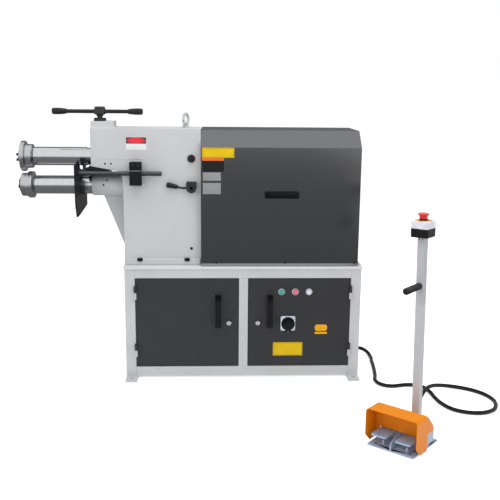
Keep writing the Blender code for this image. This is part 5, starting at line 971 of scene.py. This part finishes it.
# Gears, bushes, carrier and coupling
# Oiled machined steel gears, bronze bushes and the cast carrier that lets the upper shaft tilt. They are hidden in
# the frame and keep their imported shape, as do the gearbox and its stand under the cover.
oiled_steel = turned_metal("oiled_gear_steel", (0.30, 0.30, 0.31), 0.28, 0.45)
bronze = turned_metal("bush_bronze", (0.55, 0.36, 0.14), 0.28, 0.42)


def cast_skin(name, colour, roughness=0.55):
    """Painted casting: a pebbled skin whose colour drifts in broad patches."""
    made, shader = new_finish(name, colour, roughness)
    pebbles = pattern(shader, 170, detail=4.0)
    tint(shader, pattern(shader, 22, detail=4.0), colour, 0.80, 1.12)
    dull(shader, pebbles, roughness - 0.08, roughness + 0.10)
    emboss(shader, pebbles, 0.00035, 0.7)
    return made


cast_grey = cast_skin("cast_grey_skin", (0.20, 0.21, 0.23))
for node, finish, body, slot, round_by in (
    ("upper_gear", oiled_steel, "upper_shaft_set", "gear_steel", 0.0003),
    ("lower_gear", oiled_steel, "lower_shaft_set", "gear_steel", 0.0003),
    ("drive_coupling", oiled_steel, "lower_shaft_set", "gear_steel", 0.0010),
    ("lower_rear_bearing", oiled_steel, "cabinet_and_frame", "gear_steel", 0.0006),
    ("lower_front_bush", bronze, "cabinet_and_frame", "bearing_bronze", 0.0004),
    ("upper_front_bush", bronze, "tilting_carrier", "bearing_bronze", 0.0004),
    ("upper_shaft_carrier", cast_grey, "tilting_carrier", "cast_metal", 0.0012),
    ("gearbox", cast_grey, "cabinet_and_frame", "cast_metal", 0.0030),
    ("drive_stand", frame_grey, "cabinet_and_frame", "light_grey_paint", 0.0012),
):
    broken_edges(node, finish, body, round_by)

# Rolls
# Turned tool steel rolls, keyed on the shafts' noses: the upper one has its flange on the left, the lower one a
# rim on the right. A black cap with a hex head in its middle and three socket screws holds each.
SCREW_CIRCLE = 0.016
SCREW_SEAT = 0.0076
HEX_SEAT = 0.0064
PIN_DEPTH = 0.0985
AWAY_FROM_FRAME = (-1, 0, 0)
UPPER_ROLL_PROFILE = (
    (-0.4495, 0.0225),
    (-0.4495, 0.0645),
    (-0.4475, 0.0665),
    (-0.4345, 0.0665),
    (-0.4320, 0.0650),
    (-0.4275, 0.0530),
    (-0.4262, 0.0523),
    (-0.4026, 0.0523),
    (-0.4008, 0.0508),
    (-0.3945, 0.0377),
    (-0.3945, 0.0225),
)
LOWER_ROLL_PROFILE = (
    (-0.4530, 0.0225),
    (-0.4530, 0.0488),
    (-0.4508, 0.0510),
    (-0.4308, 0.0510),
    (-0.4285, 0.0523),
    (-0.4235, 0.0580),
    (-0.4222, 0.0585),
    (-0.4030, 0.0585),
    (-0.4012, 0.0568),
    (-0.3945, 0.0377),
    (-0.3945, 0.0225),
)
CAP_PROFILE = ((-0.001, 0.0338), (0.0066, 0.0338), (0.0079, 0.0324), (0.0079, 0.0070), (0.0066, 0.0062), (0.0066, 0))
CAP_SCREW = ((0, 0.0058), (0.0070, 0.0058), (0.0078, 0.0050), (0.0080, 0.0032), (0.0042, 0.0030), (0.0042, 0))
HEX_HEAD = ((0, 0.0096), (0.0080, 0.0096), (0.0090, 0.0086), (0.0090, 0))
ROLL_PIN = ((0, 0.0056), (0.0155, 0.0056), (0.0165, 0.0048), (0.0165, 0))

roll_steel = turned_metal("turned_roll_steel", (0.56, 0.565, 0.58), 0.27, 0.34, 0.000001)
for name, height, profile, pins in (
    ("upper_roll", UPPER_SHAFT_HEIGHT, UPPER_ROLL_PROFILE, (0.0095, -0.0135)),
    ("lower_roll", LOWER_SHAFT_HEIGHT, LOWER_ROLL_PROFILE, ()),
):
    body = name.replace("roll", "shaft_set")
    left = profile[0][0]
    roll = turned_form(bmesh.new(), profile, facing((0, SHAFT_DEPTH, height), ALONG_SHAFTS), 112)
    put(f"{name}_turned", roll, roll_steel, body, stands_for=(name,))
    cap = turned_form(bmesh.new(), CAP_PROFILE, facing((left, SHAFT_DEPTH, height), AWAY_FROM_FRAME), 72)
    put(f"{name}_cap", cap, black_oxide, body)
    screws = bmesh.new()
    turned_form(screws, HEX_HEAD, facing((left - HEX_SEAT, SHAFT_DEPTH, height), AWAY_FROM_FRAME), HEXAGON)
    for lift in pins:
        turned_form(screws, ROLL_PIN, facing((left, PIN_DEPTH, height + lift), AWAY_FROM_FRAME), 20)
    for depth, spot_height in arc((SHAFT_DEPTH, height), SCREW_CIRCLE, 90, 330, 2):
        turned_form(screws, CAP_SCREW, facing((left - SCREW_SEAT, depth, spot_height), AWAY_FROM_FRAME), 24)
    put(f"{name}_screws", screws, black_oxide, body)

# Bearing block, nut and T handle
# The upper shaft's bearing slides in the arm. A black steel screw with a ribbed cast hub lifts it through a nut in
# the raised block, turned by a cross bar with two moulded grips that swell towards their ends.
SCREW_X = -0.1045
BAR_HEIGHT = 1.1838
BAR_MIDDLE_X = -0.1145
BAR_HALF = 0.197
BAR_RADIUS = 0.0084
BAR_IN_GRIP = 0.020
HUB_REACH = 0.0236
THREAD_TURNS = 20

black_paint = cast_skin("black_cast_skin", (0.020, 0.020, 0.022), 0.42)
broken_edges("front_bearing_block", black_oxide, "bearing_block", 0.0010)
nut = turned_form(
    bmesh.new(),
    (
        (0, 0.0113),
        (0, 0.0262),
        (0.0008, 0.0270),
        (0.0098, 0.0270),
        (0.0122, 0.0256),
        (0.0130, 0.0230),
        (0.0130, 0.0113),
    ),
    Matrix.Translation((SCREW_X, SHAFT_DEPTH, 1.1473 - RAISED_BLOCK_SINK)),
)
put("screw_nut_turned", nut, black_oxide, "cabinet_and_frame", stands_for=("screw_nut",))
screw = turned_form(
    bmesh.new(),
    (
        (1.0484, 0),
        (1.0484, 0.0098),
        (1.0500, 0.0109),
        *((1.0640 + 0.0025 * k + 0.0012 * (k % 2), 0.0109 if k % 2 else 0.0099) for k in range(THREAD_TURNS)),
        (1.1150, 0.0109),
        (1.1612, 0.0109),
        (1.1613, 0.0135),
        (1.1655, 0.0138),
        (1.1690, 0.0165),
        (1.1708, 0.0212),
        (1.1725, 0.0232),
        (1.1760, 0.0235),
        (1.1985, 0.0235),
        (1.2025, 0.0226),
        (1.2044, 0.0200),
        (1.2048, 0.0140),
        (1.2040, 0.0120),
        (1.2040, 0),
    ),
    Matrix.Translation((SCREW_X, SHAFT_DEPTH, 0)),
)
put("pressure_screw_hub", screw, black_paint, "t_handle", stands_for=("pressure_screw",))
bar_end = BAR_HALF - BAR_IN_GRIP
bar = turned_form(
    bmesh.new(),
    ((-bar_end, 0), (-bar_end, BAR_RADIUS), (bar_end, BAR_RADIUS), (bar_end, 0)),
    facing((BAR_MIDDLE_X, SHAFT_DEPTH, BAR_HEIGHT), (1, 0, 0)),
    40,
)
for way in (-1, 1):
    collar = facing((SCREW_X + way * HUB_REACH, SHAFT_DEPTH, BAR_HEIGHT), (way, 0, 0))
    turned_form(bar, [(-0.004, 0.0108), (0.0008, 0.0108), (0.0022, 0.0096), (0.0022, 0.0070)], collar, 32)
put("t_bar_rod", bar, black_oxide, "t_handle", stands_for=("t_bar",))
grip_black = moulded("grip_plastic", (0.017, 0.017, 0.019), 0.36)
for side, way in (("left", -1), ("right", 1)):
    grip = turned_form(
        bmesh.new(),
        (
            (0, 0),
            (0, 0.0080),
            (0.0009, 0.0110),
            (0.0030, 0.0130),
            (0.0090, 0.0139),
            (0.0200, 0.0142),
            (0.0360, 0.0138),
            (0.0520, 0.0124),
            (0.0600, 0.0112),
            (0.0640, 0.0100),
            (0.0650, 0.0082),
        ),
        facing((BAR_MIDDLE_X + way * BAR_HALF, SHAFT_DEPTH, BAR_HEIGHT), (-way, 0, 0)),
        48,
    )
    put(f"t_grip_{side}", grip, grip_black, "t_handle")

# Fence
# A black oxide rod that slides in a split clamp on the frame's front, with a flame-cut plate across the shafts at
# its end. Two socket screws close the clamp.
WING_OUTLINE = ((0.180, 0.9200), (0.180, 0.9400), (0.190, 0.9560), (0.247, 0.9600), (0.247, 0.9080))

fence_black = plated("fence_black_skin", (0.012, 0.012, 0.014), 0.50, 0.64, metallic=0.0, gloss=0.12)
rod_black = plated("fence_rod_skin", (0.110, 0.112, 0.120), 0.26, 0.36, metallic=0.85)
broken_edges("fence_plate", fence_black, "fence", 0.0006)
wing = bmesh.new()
ring_loft(wing, [[(x, depth, height) for depth, height in WING_OUTLINE] for x in (-0.1954, -0.1906)])
put("fence_plate_wing", wing, fence_black, "fence", round_by=0.0006)
rod_form = turned_form(
    bmesh.new(),
    ((-0.1897, 0), (-0.1897, 0.0098), (0.1672, 0.0098), (0.1687, 0.0083), (0.1687, 0)),
    facing((0, 0.0225, 0.9242), ALONG_SHAFTS),
    48,
)
put("fence_rod_round", rod_form, rod_black, "fence", stands_for=("fence_rod",))
broken_edges("fence_clamp", fence_black, "cabinet_and_frame", 0.0012)
clamp_screws = bmesh.new()
for across in (0.0445, 0.0690):
    screw_head(clamp_screws, facing((across, 0.0046, 0.9590), TO_OPERATOR), 0.0072, 0.0042, 28)
put("fence_clamp_screws", clamp_screws, black_oxide, "cabinet_and_frame", round_by=0.0003)
clamp_split = block(bmesh.new(), (0.0500, 0.0016, 0.0026), Matrix.Translation((0.0568, 0.0042, 0.9370)))
put("fence_clamp_split", clamp_split, clamp_zinc, "cabinet_and_frame", round_by=0.0006)

# Axial lever
# A small black hand lever with a shield-shaped hub, a thin bent arm and a tapered grip, on a shank through the
# frame's front plate in line with the lower shaft.
LEVER_FRONT = 0.0182
LEVER_BACK = 0.0422
LEVER_MIDDLE = (LEVER_FRONT + LEVER_BACK) / 2
HUB_RADIUS = 0.022
ARM_RADIUS = 0.0046
GRIP_NECK = 0.0088
GRIP_RADIUS = 0.0120
ARM_END = 0.058
GRIP_START = 0.062
GRIP_END = 0.1035
GRIP_DOME = 0.0055
ARM_PATH = (
    (0.015, 0.001),
    (0.034, -0.001),
    (0.050, 0.001),
    (0.063, 0.0045),
    (0.073, 0.0068),
    (0.090, 0.0104),
    (0.1085, 0.0140),
)

shield = arc((TRUNNION_X, LOWER_SHAFT_HEIGHT), HUB_RADIUS, 180, 360, 24)
for across, rise in ((HUB_RADIUS, 0.0245), (0.0205, 0.0268), (-0.0205, 0.0268), (-HUB_RADIUS, 0.0245)):
    shield.append((TRUNNION_X + across, LOWER_SHAFT_HEIGHT + rise))
hub = upright_plate(bmesh.new(), shield, LEVER_FRONT, LEVER_BACK)
for depth, profile in (
    (LEVER_BACK, ((0, 0.0098), (-0.0120, 0.0098), (-0.0120, 0))),
    (
        LEVER_FRONT + 0.0020,
        ((-0.002, 0.0120), (0.0002, 0.0120), (0.0002, 0.0085), (0.0014, 0.0080), (0.0020, 0.0060), (0.0020, 0)),
    ),
):
    turned_form(hub, profile, facing((TRUNNION_X, depth, LOWER_SHAFT_HEIGHT), TO_OPERATOR), 32)
put("lever_hub", hub, black_paint, "lever", stands_for=("axial_lever",), round_by=0.0016)
arm_line = smooth_points(
    [(TRUNNION_X - reach, LEVER_MIDDLE, LOWER_SHAFT_HEIGHT + rise) for reach, rise in ARM_PATH], 0.0016
)
arm_radii = []
for spot in arm_line:
    reach = TRUNNION_X - spot.x
    if reach < ARM_END:
        arm_radii.append(ARM_RADIUS)
    elif reach < GRIP_START:
        share = (reach - ARM_END) / (GRIP_START - ARM_END)
        arm_radii.append(ARM_RADIUS + (GRIP_NECK - ARM_RADIUS) * share)
    elif reach < GRIP_END:
        share = (reach - GRIP_START) / (GRIP_END - GRIP_START)
        arm_radii.append(GRIP_NECK + (GRIP_RADIUS - GRIP_NECK) * share)
    else:
        arm_radii.append(GRIP_RADIUS * math.sqrt(max(0.02, 1 - ((reach - GRIP_END) / GRIP_DOME) ** 2)))
arm = swept_form(bmesh.new(), arm_line, arm_radii, 32)
put("lever_arm_and_grip", arm, grip_black, "lever")

# Drive
# A three-phase motor with its cooling ribs and fan cowl, flanged to the gearbox. Both are hidden under the cover.
MOTOR_RIB = 0.0120

motor = turned_form(
    bmesh.new(),
    (
        (0.6555, 0, 0),
        (0.6555, 0.0800, 0),
        (0.6640, 0.0860, 0),
        (0.6780, 0.0860, 0),
        (0.6800, 0.0740, MOTOR_RIB),
        (0.8720, 0.0740, MOTOR_RIB),
        (0.8740, 0.0860, 0),
        (0.8760, 0.0875, 0),
        (0.9380, 0.0875, 0),
        (0.9500, 0.0800, 0),
        (0.9550, 0.0660, 0),
        (0.9550, 0, 0),
    ),
    Matrix.Translation((0, SHAFT_DEPTH, LOWER_SHAFT_HEIGHT)) @ Matrix.Rotation(math.radians(120), 4, Vector((1, 1, 1))),
    160,
    lambda index: index % 4 < 2,
)
put("motor_casing", motor, cast_grey, "cabinet_and_frame", stands_for=("motor",))

# Cover of the drive
# Folded 2 mm sheet in dark grey powder coat with sloped shoulders, screwed to a flange along the table with three
# pan head screws on each long side. A hard clear coat makes its shoulders shine. Its labels are blank plates.
COVER_FRONT = 0.0096
COVER_BACK = 0.4450

cover_grey = powder_coat("cover_grey_coat", (0.0100, 0.0108, 0.0145), 0.46, 0.00014, 0.10)
cover_shine = cover_grey.node_tree.nodes["Principled BSDF"]
cover_shine.inputs["Coat Weight"].default_value = 1.0
cover_shine.inputs["Coat IOR"].default_value = 2.40
cover_shine.inputs["Coat Tint"].default_value = (0.92, 0.96, 1.0, 1)
cover_shine.inputs["Coat Roughness"].default_value = 0.16
broken_edges("drive_cover", cover_grey, "cabinet_and_frame", 0.0016)
flange = bmesh.new()
cover_screws = bmesh.new()
for face, way in ((COVER_FRONT, -1), (COVER_BACK, 1)):
    block_between(flange, (0.3385, face, 0.5181), (1.0335, face + way * 0.0016, 0.5311))
    for across in (0.4048, 0.7095, 1.0170):
        screw_head(cover_screws, facing((across, face + way * 0.0010, 0.5335), (0, way, 0)), 0.0052, 0.0030)
put("cover_flange", flange, cover_grey, "cabinet_and_frame", round_by=0.0005)
put("cover_screws", cover_screws, black_oxide, "cabinet_and_frame")
black_film = printed_film("black_film", (0.014, 0.014, 0.016))
orange_film = printed_film("orange_film", (0.860, 0.170, 0.020))
silver_film = plated("silver_plate_skin", (0.62, 0.63, 0.65), 0.30, 0.46, 300)
yellow_low, yellow_high = (0.3430, 0.9956), (0.4811, 1.0384)
bordered_label(
    "cover_yellow_label", yellow_low, yellow_high, COVER_FRONT, yellow_film, "cabinet_and_frame", inset=0.003
)
strip_face = COVER_FRONT - LABEL_THICKNESS
for name, low, high, face, film, slot, lift in (
    ("black_label", (0.3438, 0.9348), (0.4373, 0.9944), COVER_FRONT, black_film, "black_plastic", LABEL_THICKNESS),
    ("orange_strip", (0.3438, 0.9825), (0.4373, 0.9944), strip_face, orange_film, "black_plastic", FILM_THICKNESS),
    ("silver_plate_upper", (0.3461, 0.8966), (0.4237, 0.9322), COVER_FRONT, silver_film, "zinc_plated_steel", 0.0006),
    ("silver_plate_lower", (0.3461, 0.8383), (0.4237, 0.8868), COVER_FRONT, silver_film, "zinc_plated_steel", 0.0006),
):
    label_plate(f"cover_{name}", low, high, face, film, "cabinet_and_frame", slot, lift=lift)

# Eye bolt
# A zinc plated forged lifting eye on its collar, screwed into the frame's top.
EYE_X = 0.2702
EYE_HEIGHT = 1.15055
EYE_RADIUS = 0.0245
EYE_TURN = math.radians(68)

eye_zinc = plated("eye_bolt_zinc", (0.66, 0.67, 0.69), 0.20, 0.36, 160)
eye = turned_form(
    bmesh.new(),
    (
        (1.1168, 0),
        (1.1168, 0.0164),
        (1.1176, 0.0170),
        (1.1205, 0.0170),
        (1.1222, 0.0150),
        (1.1250, 0.0098),
        (1.1290, 0.0080),
        (1.1290, 0),
    ),
    Matrix.Translation((EYE_X, SHAFT_DEPTH, 0)),
    48,
)
eye_place = Matrix.Translation((EYE_X, SHAFT_DEPTH, EYE_HEIGHT)) @ Matrix.Rotation(EYE_TURN, 4, "Z")
eye_rings = []
for index in range(64):
    turn = 2 * math.pi * index / 64
    out = Vector((math.cos(turn), 0, math.sin(turn)))
    thick = 0.0064 - 0.0006 * math.sin(turn)
    eye_rings.append([
        eye_place @ (out * EYE_RADIUS + out * thick * math.cos(a) + Vector((0, thick * math.sin(a), 0)))
        for a in (2 * math.pi * k / 20 for k in range(20))
    ])
ring_loft(eye, [*eye_rings, eye_rings[0]], closed_ends=False)
bmesh.ops.remove_doubles(eye, verts=eye.verts, dist=0.00002)
put("lifting_eye", eye, eye_zinc, "cabinet_and_frame", stands_for=("eye_bolt",))

# Electrical plate and cable gland
# Behind the right door a zinc plated sheet carries the drive unit, the contactor and the transformer. The cable
# leaves the cabinet low on its right side, through a black nylon gland with a ribbed dome nut.
FIN_COUNT = 9
FIN_PITCH = 0.0130

panel_zinc = plated("panel_zinc", (0.55, 0.56, 0.58), 0.34, 0.52, 60)
broken_edges("electrical_panel", panel_zinc, "cabinet_and_frame", 0.0008)
unit_fins = bmesh.new()
for index in range(FIN_COUNT):
    fin_place = Matrix.Translation((0.6680 + FIN_PITCH * index, 0.34455, 0.2750))
    block(unit_fins, (0.0022, 0.0018, 0.1500), fin_place)
put("drive_unit_ribs", unit_fins, handle_black, "cabinet_and_frame")
gland = turned_form(
    bmesh.new(),
    (
        (-0.0020, 0.0118, 0),
        (0.0003, 0.0122, 0),
        (0.0003, 0.0170, 0),
        (0.0030, 0.0170, 0),
        (0.0034, 0.0163, 0),
        (0.0050, 0.0158, 0.0009),
        (0.0150, 0.0152, 0.0009),
        (0.0185, 0.0142, 0.0005),
        (0.0220, 0.0130, 0),
        (0.0270, 0.0112, 0),
        (0.0280, 0.0102, 0),
        (0.0280, 0.0088, 0),
        (0.0200, 0.0087, 0),
    ),
    facing((1.050, 0.320, 0.031), (1, 0, 0)),
    96,
    lambda index: index % 6 < 3,
)
put("cabinet_gland", gland, handle_black, "cabinet_and_frame", stands_for=("cable_gland",))

# Foot switch
# A sand-cast aluminium base plate with the switch housing across it and a fin between the pedals, four bolt holes,
# and two white nylon stops under the treads. A small cast box for the cable's ends stands behind it.
STATION = MACHINE @ Matrix.Translation((1.0988, -0.6786, 0)) @ Matrix.Rotation(math.radians(-41.2), 4, "Z")
PEDAL_STOP = ((0.0056, 0), (0.0056, 0.0048), (0.0110, 0.0046), (0.0150, 0.0040), (0.0172, 0.0026), (0.0178, 0))
BASE_BOLT = (
    (0.0010, 0),
    (0.0010, 0.0052),
    (0.0046, 0.0052),
    (0.0052, 0.0046),
    (0.0052, 0.0026),
    (0.0030, 0.0024),
    (0.0030, 0),
)

cast_aluminium = cast_skin("cast_aluminium_skin", (0.430, 0.510, 0.650), 0.40)
broken_edges("pedal_base", cast_aluminium, "cabinet_and_frame", 0.0012)
white_nylon = moulded("white_nylon", (0.700, 0.710, 0.720), 0.35)
stops = bmesh.new()
for across in (-0.0480, 0.0490):
    turned_form(stops, PEDAL_STOP, Matrix.Translation((across, -0.0590, 0)), 24)
put("pedal_stops", stops, white_nylon, "cabinet_and_frame", STATION)
housing_screws = bmesh.new()
for across in (-0.0860, 0.0860):
    for height in (0.0700, 0.0200):
        screw_head(housing_screws, facing((across, 0.0266, height), (0, 1, 0)), 0.0036, 0.0024, 20)
put("housing_screws", housing_screws, clamp_zinc, "cabinet_and_frame", STATION)
base_bolts = bmesh.new()
for across in (-0.070, 0.070):
    for depth in (-0.0745, 0.0745):
        turned_form(base_bolts, BASE_BOLT, Matrix.Translation((across, depth, 0)), 24)
put("base_bolts", base_bolts, black_oxide, "cabinet_and_frame", STATION)
cast_box = block(bmesh.new(), (0.0400, 0.0480, 0.0600), Matrix.Translation((0.0690, 0.0505, 0.0362)))
put("switch_terminal_box", cast_box, cast_aluminium, "cabinet_and_frame", STATION, round_by=0.0025)

# Pedals
# Two cast aluminium treads with cross-hatched tops and rounded toes, each on its own pivot bar in front of the
# housing. The casting is duller where shoes rub it.
TREAD_FRONT = -0.100
TREAD_BACK = -0.0066
TREAD_TOP = 0.050
TREAD_THICKNESS = 0.006
TREAD_CORNER = 0.007
TREAD_INNER = 0.018
TREAD_OUTER = 0.080
HATCH_HALF_DEPTH = 0.0405
HATCH_MARGIN = 0.0045
HATCH_PITCH = 0.0062
HATCH_SHORTEST = 0.008
HATCH_LINES = 9
TOE_SHIFT = 0.0035


def worn_tread_metal(name, colour):
    """Cast aluminium, dulled by shoes."""
    made, shader = new_finish(name, colour, 0.46, 0.20)
    tint(shader, pattern(shader, 34, detail=5.0), colour, 0.84, 1.10)
    dull(shader, pattern(shader, 120), 0.40, 0.58)
    emboss(shader, pattern(shader, 600, detail=2.0), 0.00012, 0.5)
    return made


tread_metal = worn_tread_metal("tread_aluminium", (0.370, 0.520, 0.720))
half_width = (TREAD_OUTER - TREAD_INNER) / 2
hatch_middle = (TREAD_FRONT + TREAD_BACK) / 2 - TOE_SHIFT
for side, way in (("left", -1), ("right", 1)):
    middle_x = way * (TREAD_INNER + TREAD_OUTER) / 2
    outline = [(half_width, TREAD_BACK), (-half_width, TREAD_BACK)]
    for centre_way, start in ((-1, 180), (1, 270)):
        corner = (centre_way * (half_width - TREAD_CORNER), TREAD_FRONT + TREAD_CORNER)
        outline += arc(corner, TREAD_CORNER, start, start + 90, 6)
    levels = (TREAD_TOP - TREAD_THICKNESS, TREAD_TOP - 0.0006)
    tread = bmesh.new()
    ring_loft(tread, [[(middle_x + a, b, level) for a, b in outline] for level in levels])
    turned_form(
        tread,
        [(-half_width, 0), (-half_width, 0.0060), (half_width, 0.0060), (half_width, 0)],
        facing((middle_x, TREAD_BACK, TREAD_TOP - 0.0060), (1, 0, 0)),
        32,
    )
    for spin in (math.radians(-45), math.radians(45)):
        along = Vector((math.cos(spin), math.sin(spin)))
        across = Vector((-along.y, along.x))
        for line in range(-HATCH_LINES, HATCH_LINES + 1):
            middle = Vector((0, hatch_middle)) + across * HATCH_PITCH * line
            low, high = -1.0, 1.0
            for axis, reach, centre in ((0, half_width - HATCH_MARGIN, 0), (1, HATCH_HALF_DEPTH, hatch_middle)):
                ends = [(way_out * reach + centre - middle[axis]) / along[axis] for way_out in (-1, 1)]
                low, high = max(low, min(ends)), min(high, max(ends))
            if high - low < HATCH_SHORTEST:
                continue
            spot = middle + along * (low + high) / 2
            rib_place = Matrix.Translation((middle_x + spot.x, spot.y, TREAD_TOP - 0.0005))
            block(tread, (high - low, 0.0011, 0.0010), rib_place @ Matrix.Rotation(spin, 4, "Z"))
    put(
        f"{side}_tread",
        tread,
        tread_metal,
        f"{side}_pedal",
        STATION,
        stands_for=(f"pedal_{side}",),
        round_by=0.0002,
    )

# Guard
# Folded 2.5 mm steel sheet in orange powder coat: the hood with its sloped back, and a wall behind the pedals. Its
# stickers are left off.
guard_orange = powder_coat("guard_orange_coat", (0.820, 0.250, 0.008), 0.40, 0.00016, 0.15)
broken_edges("pedal_guard", guard_orange, "cabinet_and_frame", 0.0008)
guard_screws = bmesh.new()
guard_returns = bmesh.new()
for way in (-1, 1):
    for depth in (-0.0500, -0.0200):
        screw_head(guard_screws, facing((way * 0.1046, depth, 0.0160), (way, 0, 0)), 0.0034, 0.0020, 20)
    block_between(guard_returns, (way * 0.0834, -0.0234, 0.0120), (way * 0.1028, -0.0210, 0.0530))
put("guard_screws", guard_screws, clamp_zinc, "cabinet_and_frame", STATION)
put("guard_side_returns", guard_returns, guard_orange, "cabinet_and_frame", STATION, round_by=0.0005)

# Pole and grip
# A 28 mm square steel tube in light grey powder coat that leans a little, with a gland for the cable at its back
# and a black rubber grip on its front.
POLE_X, POLE_Y = 0.0236, 0.060
POLE_LEAN = math.radians(-1.2)
POLE = STATION @ Matrix.Translation((POLE_X, POLE_Y, 0.0068864)) @ Matrix.Rotation(POLE_LEAN, 4, "Y")
POLE_WELD = ((-0.0138, 0.0004), (-0.0130, 0.0020), (0.0130, 0.0020), (0.0138, 0.0004))
GRIP_RIDGES = 22

pole_grey = powder_coat("pole_grey_coat", (0.505, 0.522, 0.540), 0.42, 0.00012)
broken_edges("pole", pole_grey, "cabinet_and_frame", 0.0022)
pole_foot = bmesh.new()
for way_x, way_y in ((1, 0), (-1, 0), (0, 1), (0, -1)):
    side_middle = (POLE_X + way_x * 0.0143, POLE_Y + way_y * 0.0143, 0.0072)
    turned_form(pole_foot, POLE_WELD, facing(side_middle, (way_y, way_x, 0)), 10)
put("pole_foot_weld", pole_foot, pole_grey, "cabinet_and_frame", STATION)
pole_screws = bmesh.new()
for across in (-0.0070, 0.0070):
    screw_head(pole_screws, facing((across, -0.0136, 0.7612), TO_OPERATOR), 0.0022, 0.0014, 16)
put("pole_box_screws", pole_screws, black_oxide, "cabinet_and_frame", POLE)
grip_rubber = moulded("grip_rubber", (0.018, 0.018, 0.020), 0.50, 0.00018)
grip_profile = (
    (0, 0),
    (0, 0.0110),
    (0.0004, 0.0118),
    (0.0030, 0.0125),
    *((0.0060 + 0.0038 * ridge, 0.0125 - 0.0006 * (ridge % 2)) for ridge in range(GRIP_RIDGES)),
    (0.0920, 0.0125),
    (0.1010, 0.0125),
    (0.1045, 0.0118),
    (0.1068, 0.0102),
    (0.1079, 0.0080),
    (0.1080, 0.0030),
    (0.1068, 0.0028),
    (0.1068, 0),
)
pole_grip = turned_form(bmesh.new(), grip_profile, facing((0, -0.0143, 0.5901136), TO_OPERATOR), 48)
put("pole_grip_sleeve", pole_grip, grip_rubber, "cabinet_and_frame", POLE, stands_for=("pole_grip",))

# Emergency stop
# A moulded box with a black base and a light grey lid, a yellow disc in a blue-grey rim, a black collar and the red
# mushroom head that is pressed down to stop the machine.
BOX_LOW = 0.7694136
BOX_HIGH = 0.8284136
BOX_JOINT = 0.8010
BOX_WIDTH = 0.068
BOX_DEPTH = 0.066
BOX_BASE = ((BOX_LOW, 0.0022), (BOX_LOW + 0.0016, 0.0004), (BOX_JOINT - 0.0008, 0), (BOX_JOINT, 0.0006))
BOX_LID = (
    (BOX_JOINT, 0.0006),
    (BOX_JOINT + 0.0008, 0),
    (BOX_HIGH - 0.0030, 0.0004),
    (BOX_HIGH - 0.0010, 0.0014),
    (BOX_HIGH, 0.0036),
)
STOP_COLLAR = ((0.0006, 0.0170), (0.0012, 0.0168), (0.0030, 0.0150), (0.0066, 0.0146), (0.0072, 0.0138), (0.0072, 0))

box_black = moulded("box_black_plastic", (0.008, 0.008, 0.009), 0.50)
lid_grey = moulded("lid_grey_plastic", (0.720, 0.710, 0.770), 0.38)
for name, paint, levels, solids in (
    ("stop_box_base", box_black, BOX_BASE, ()),
    ("stop_box_lid", lid_grey, BOX_LID, ("stop_box",)),
):
    rings = []
    for level, inset in levels:
        outline = soft_oblong(BOX_WIDTH - 2 * inset, BOX_DEPTH - 2 * inset, 14.0, 64)
        rings.append([(a, b, level) for a, b in outline])
    shell = bmesh.new()
    ring_loft(shell, rings)
    put(name, shell, paint, "cabinet_and_frame", POLE, solids)
rim_print = printed_film("disc_rim_print", (0.180, 0.190, 0.420))
disc_yellow = printed_film("disc_yellow", (0.800, 0.400, 0.015))
box_top = Matrix.Translation((0, 0, BOX_HIGH))
for name, paint, profile in (
    ("stop_disc_rim", rim_print, ((0, 0.0305), (0.0005, 0.0303), (0.0005, 0))),
    ("stop_disc", disc_yellow, ((0.0004, 0.0285), (0.0008, 0.0283), (0.0008, 0))),
    ("stop_collar", box_black, STOP_COLLAR),
):
    disc = turned_form(bmesh.new(), ((0, 0), *profile), box_top, 72)
    put(name, disc, paint, "cabinet_and_frame", POLE)
mushroom_red = glossy_plastic("mushroom_red", (0.780, 0.030, 0.045), 0.24)
mushroom = turned_form(
    bmesh.new(),
    (
        (-0.0195, 0),
        (-0.0195, 0.0128),
        (0.0062, 0.0130),
        (0.0066, 0.0143),
        (0.0150, 0.0145),
        (0.0174, 0.0152),
        (0.0190, 0.0172),
        (0.0202, 0.0194),
        (0.0214, 0.0202),
        (0.0230, 0.0203),
        (0.0246, 0.0198),
        (0.0260, 0.0182),
        (0.0268, 0.0150),
        (0.0273, 0.0095),
        (0.0275, 0),
    ),
    box_top,
    72,
)
put(
    "stop_mushroom_head",
    mushroom,
    mushroom_red,
    "stop_mushroom",
    POLE,
    stands_for=("emergency_stop_button",),
)
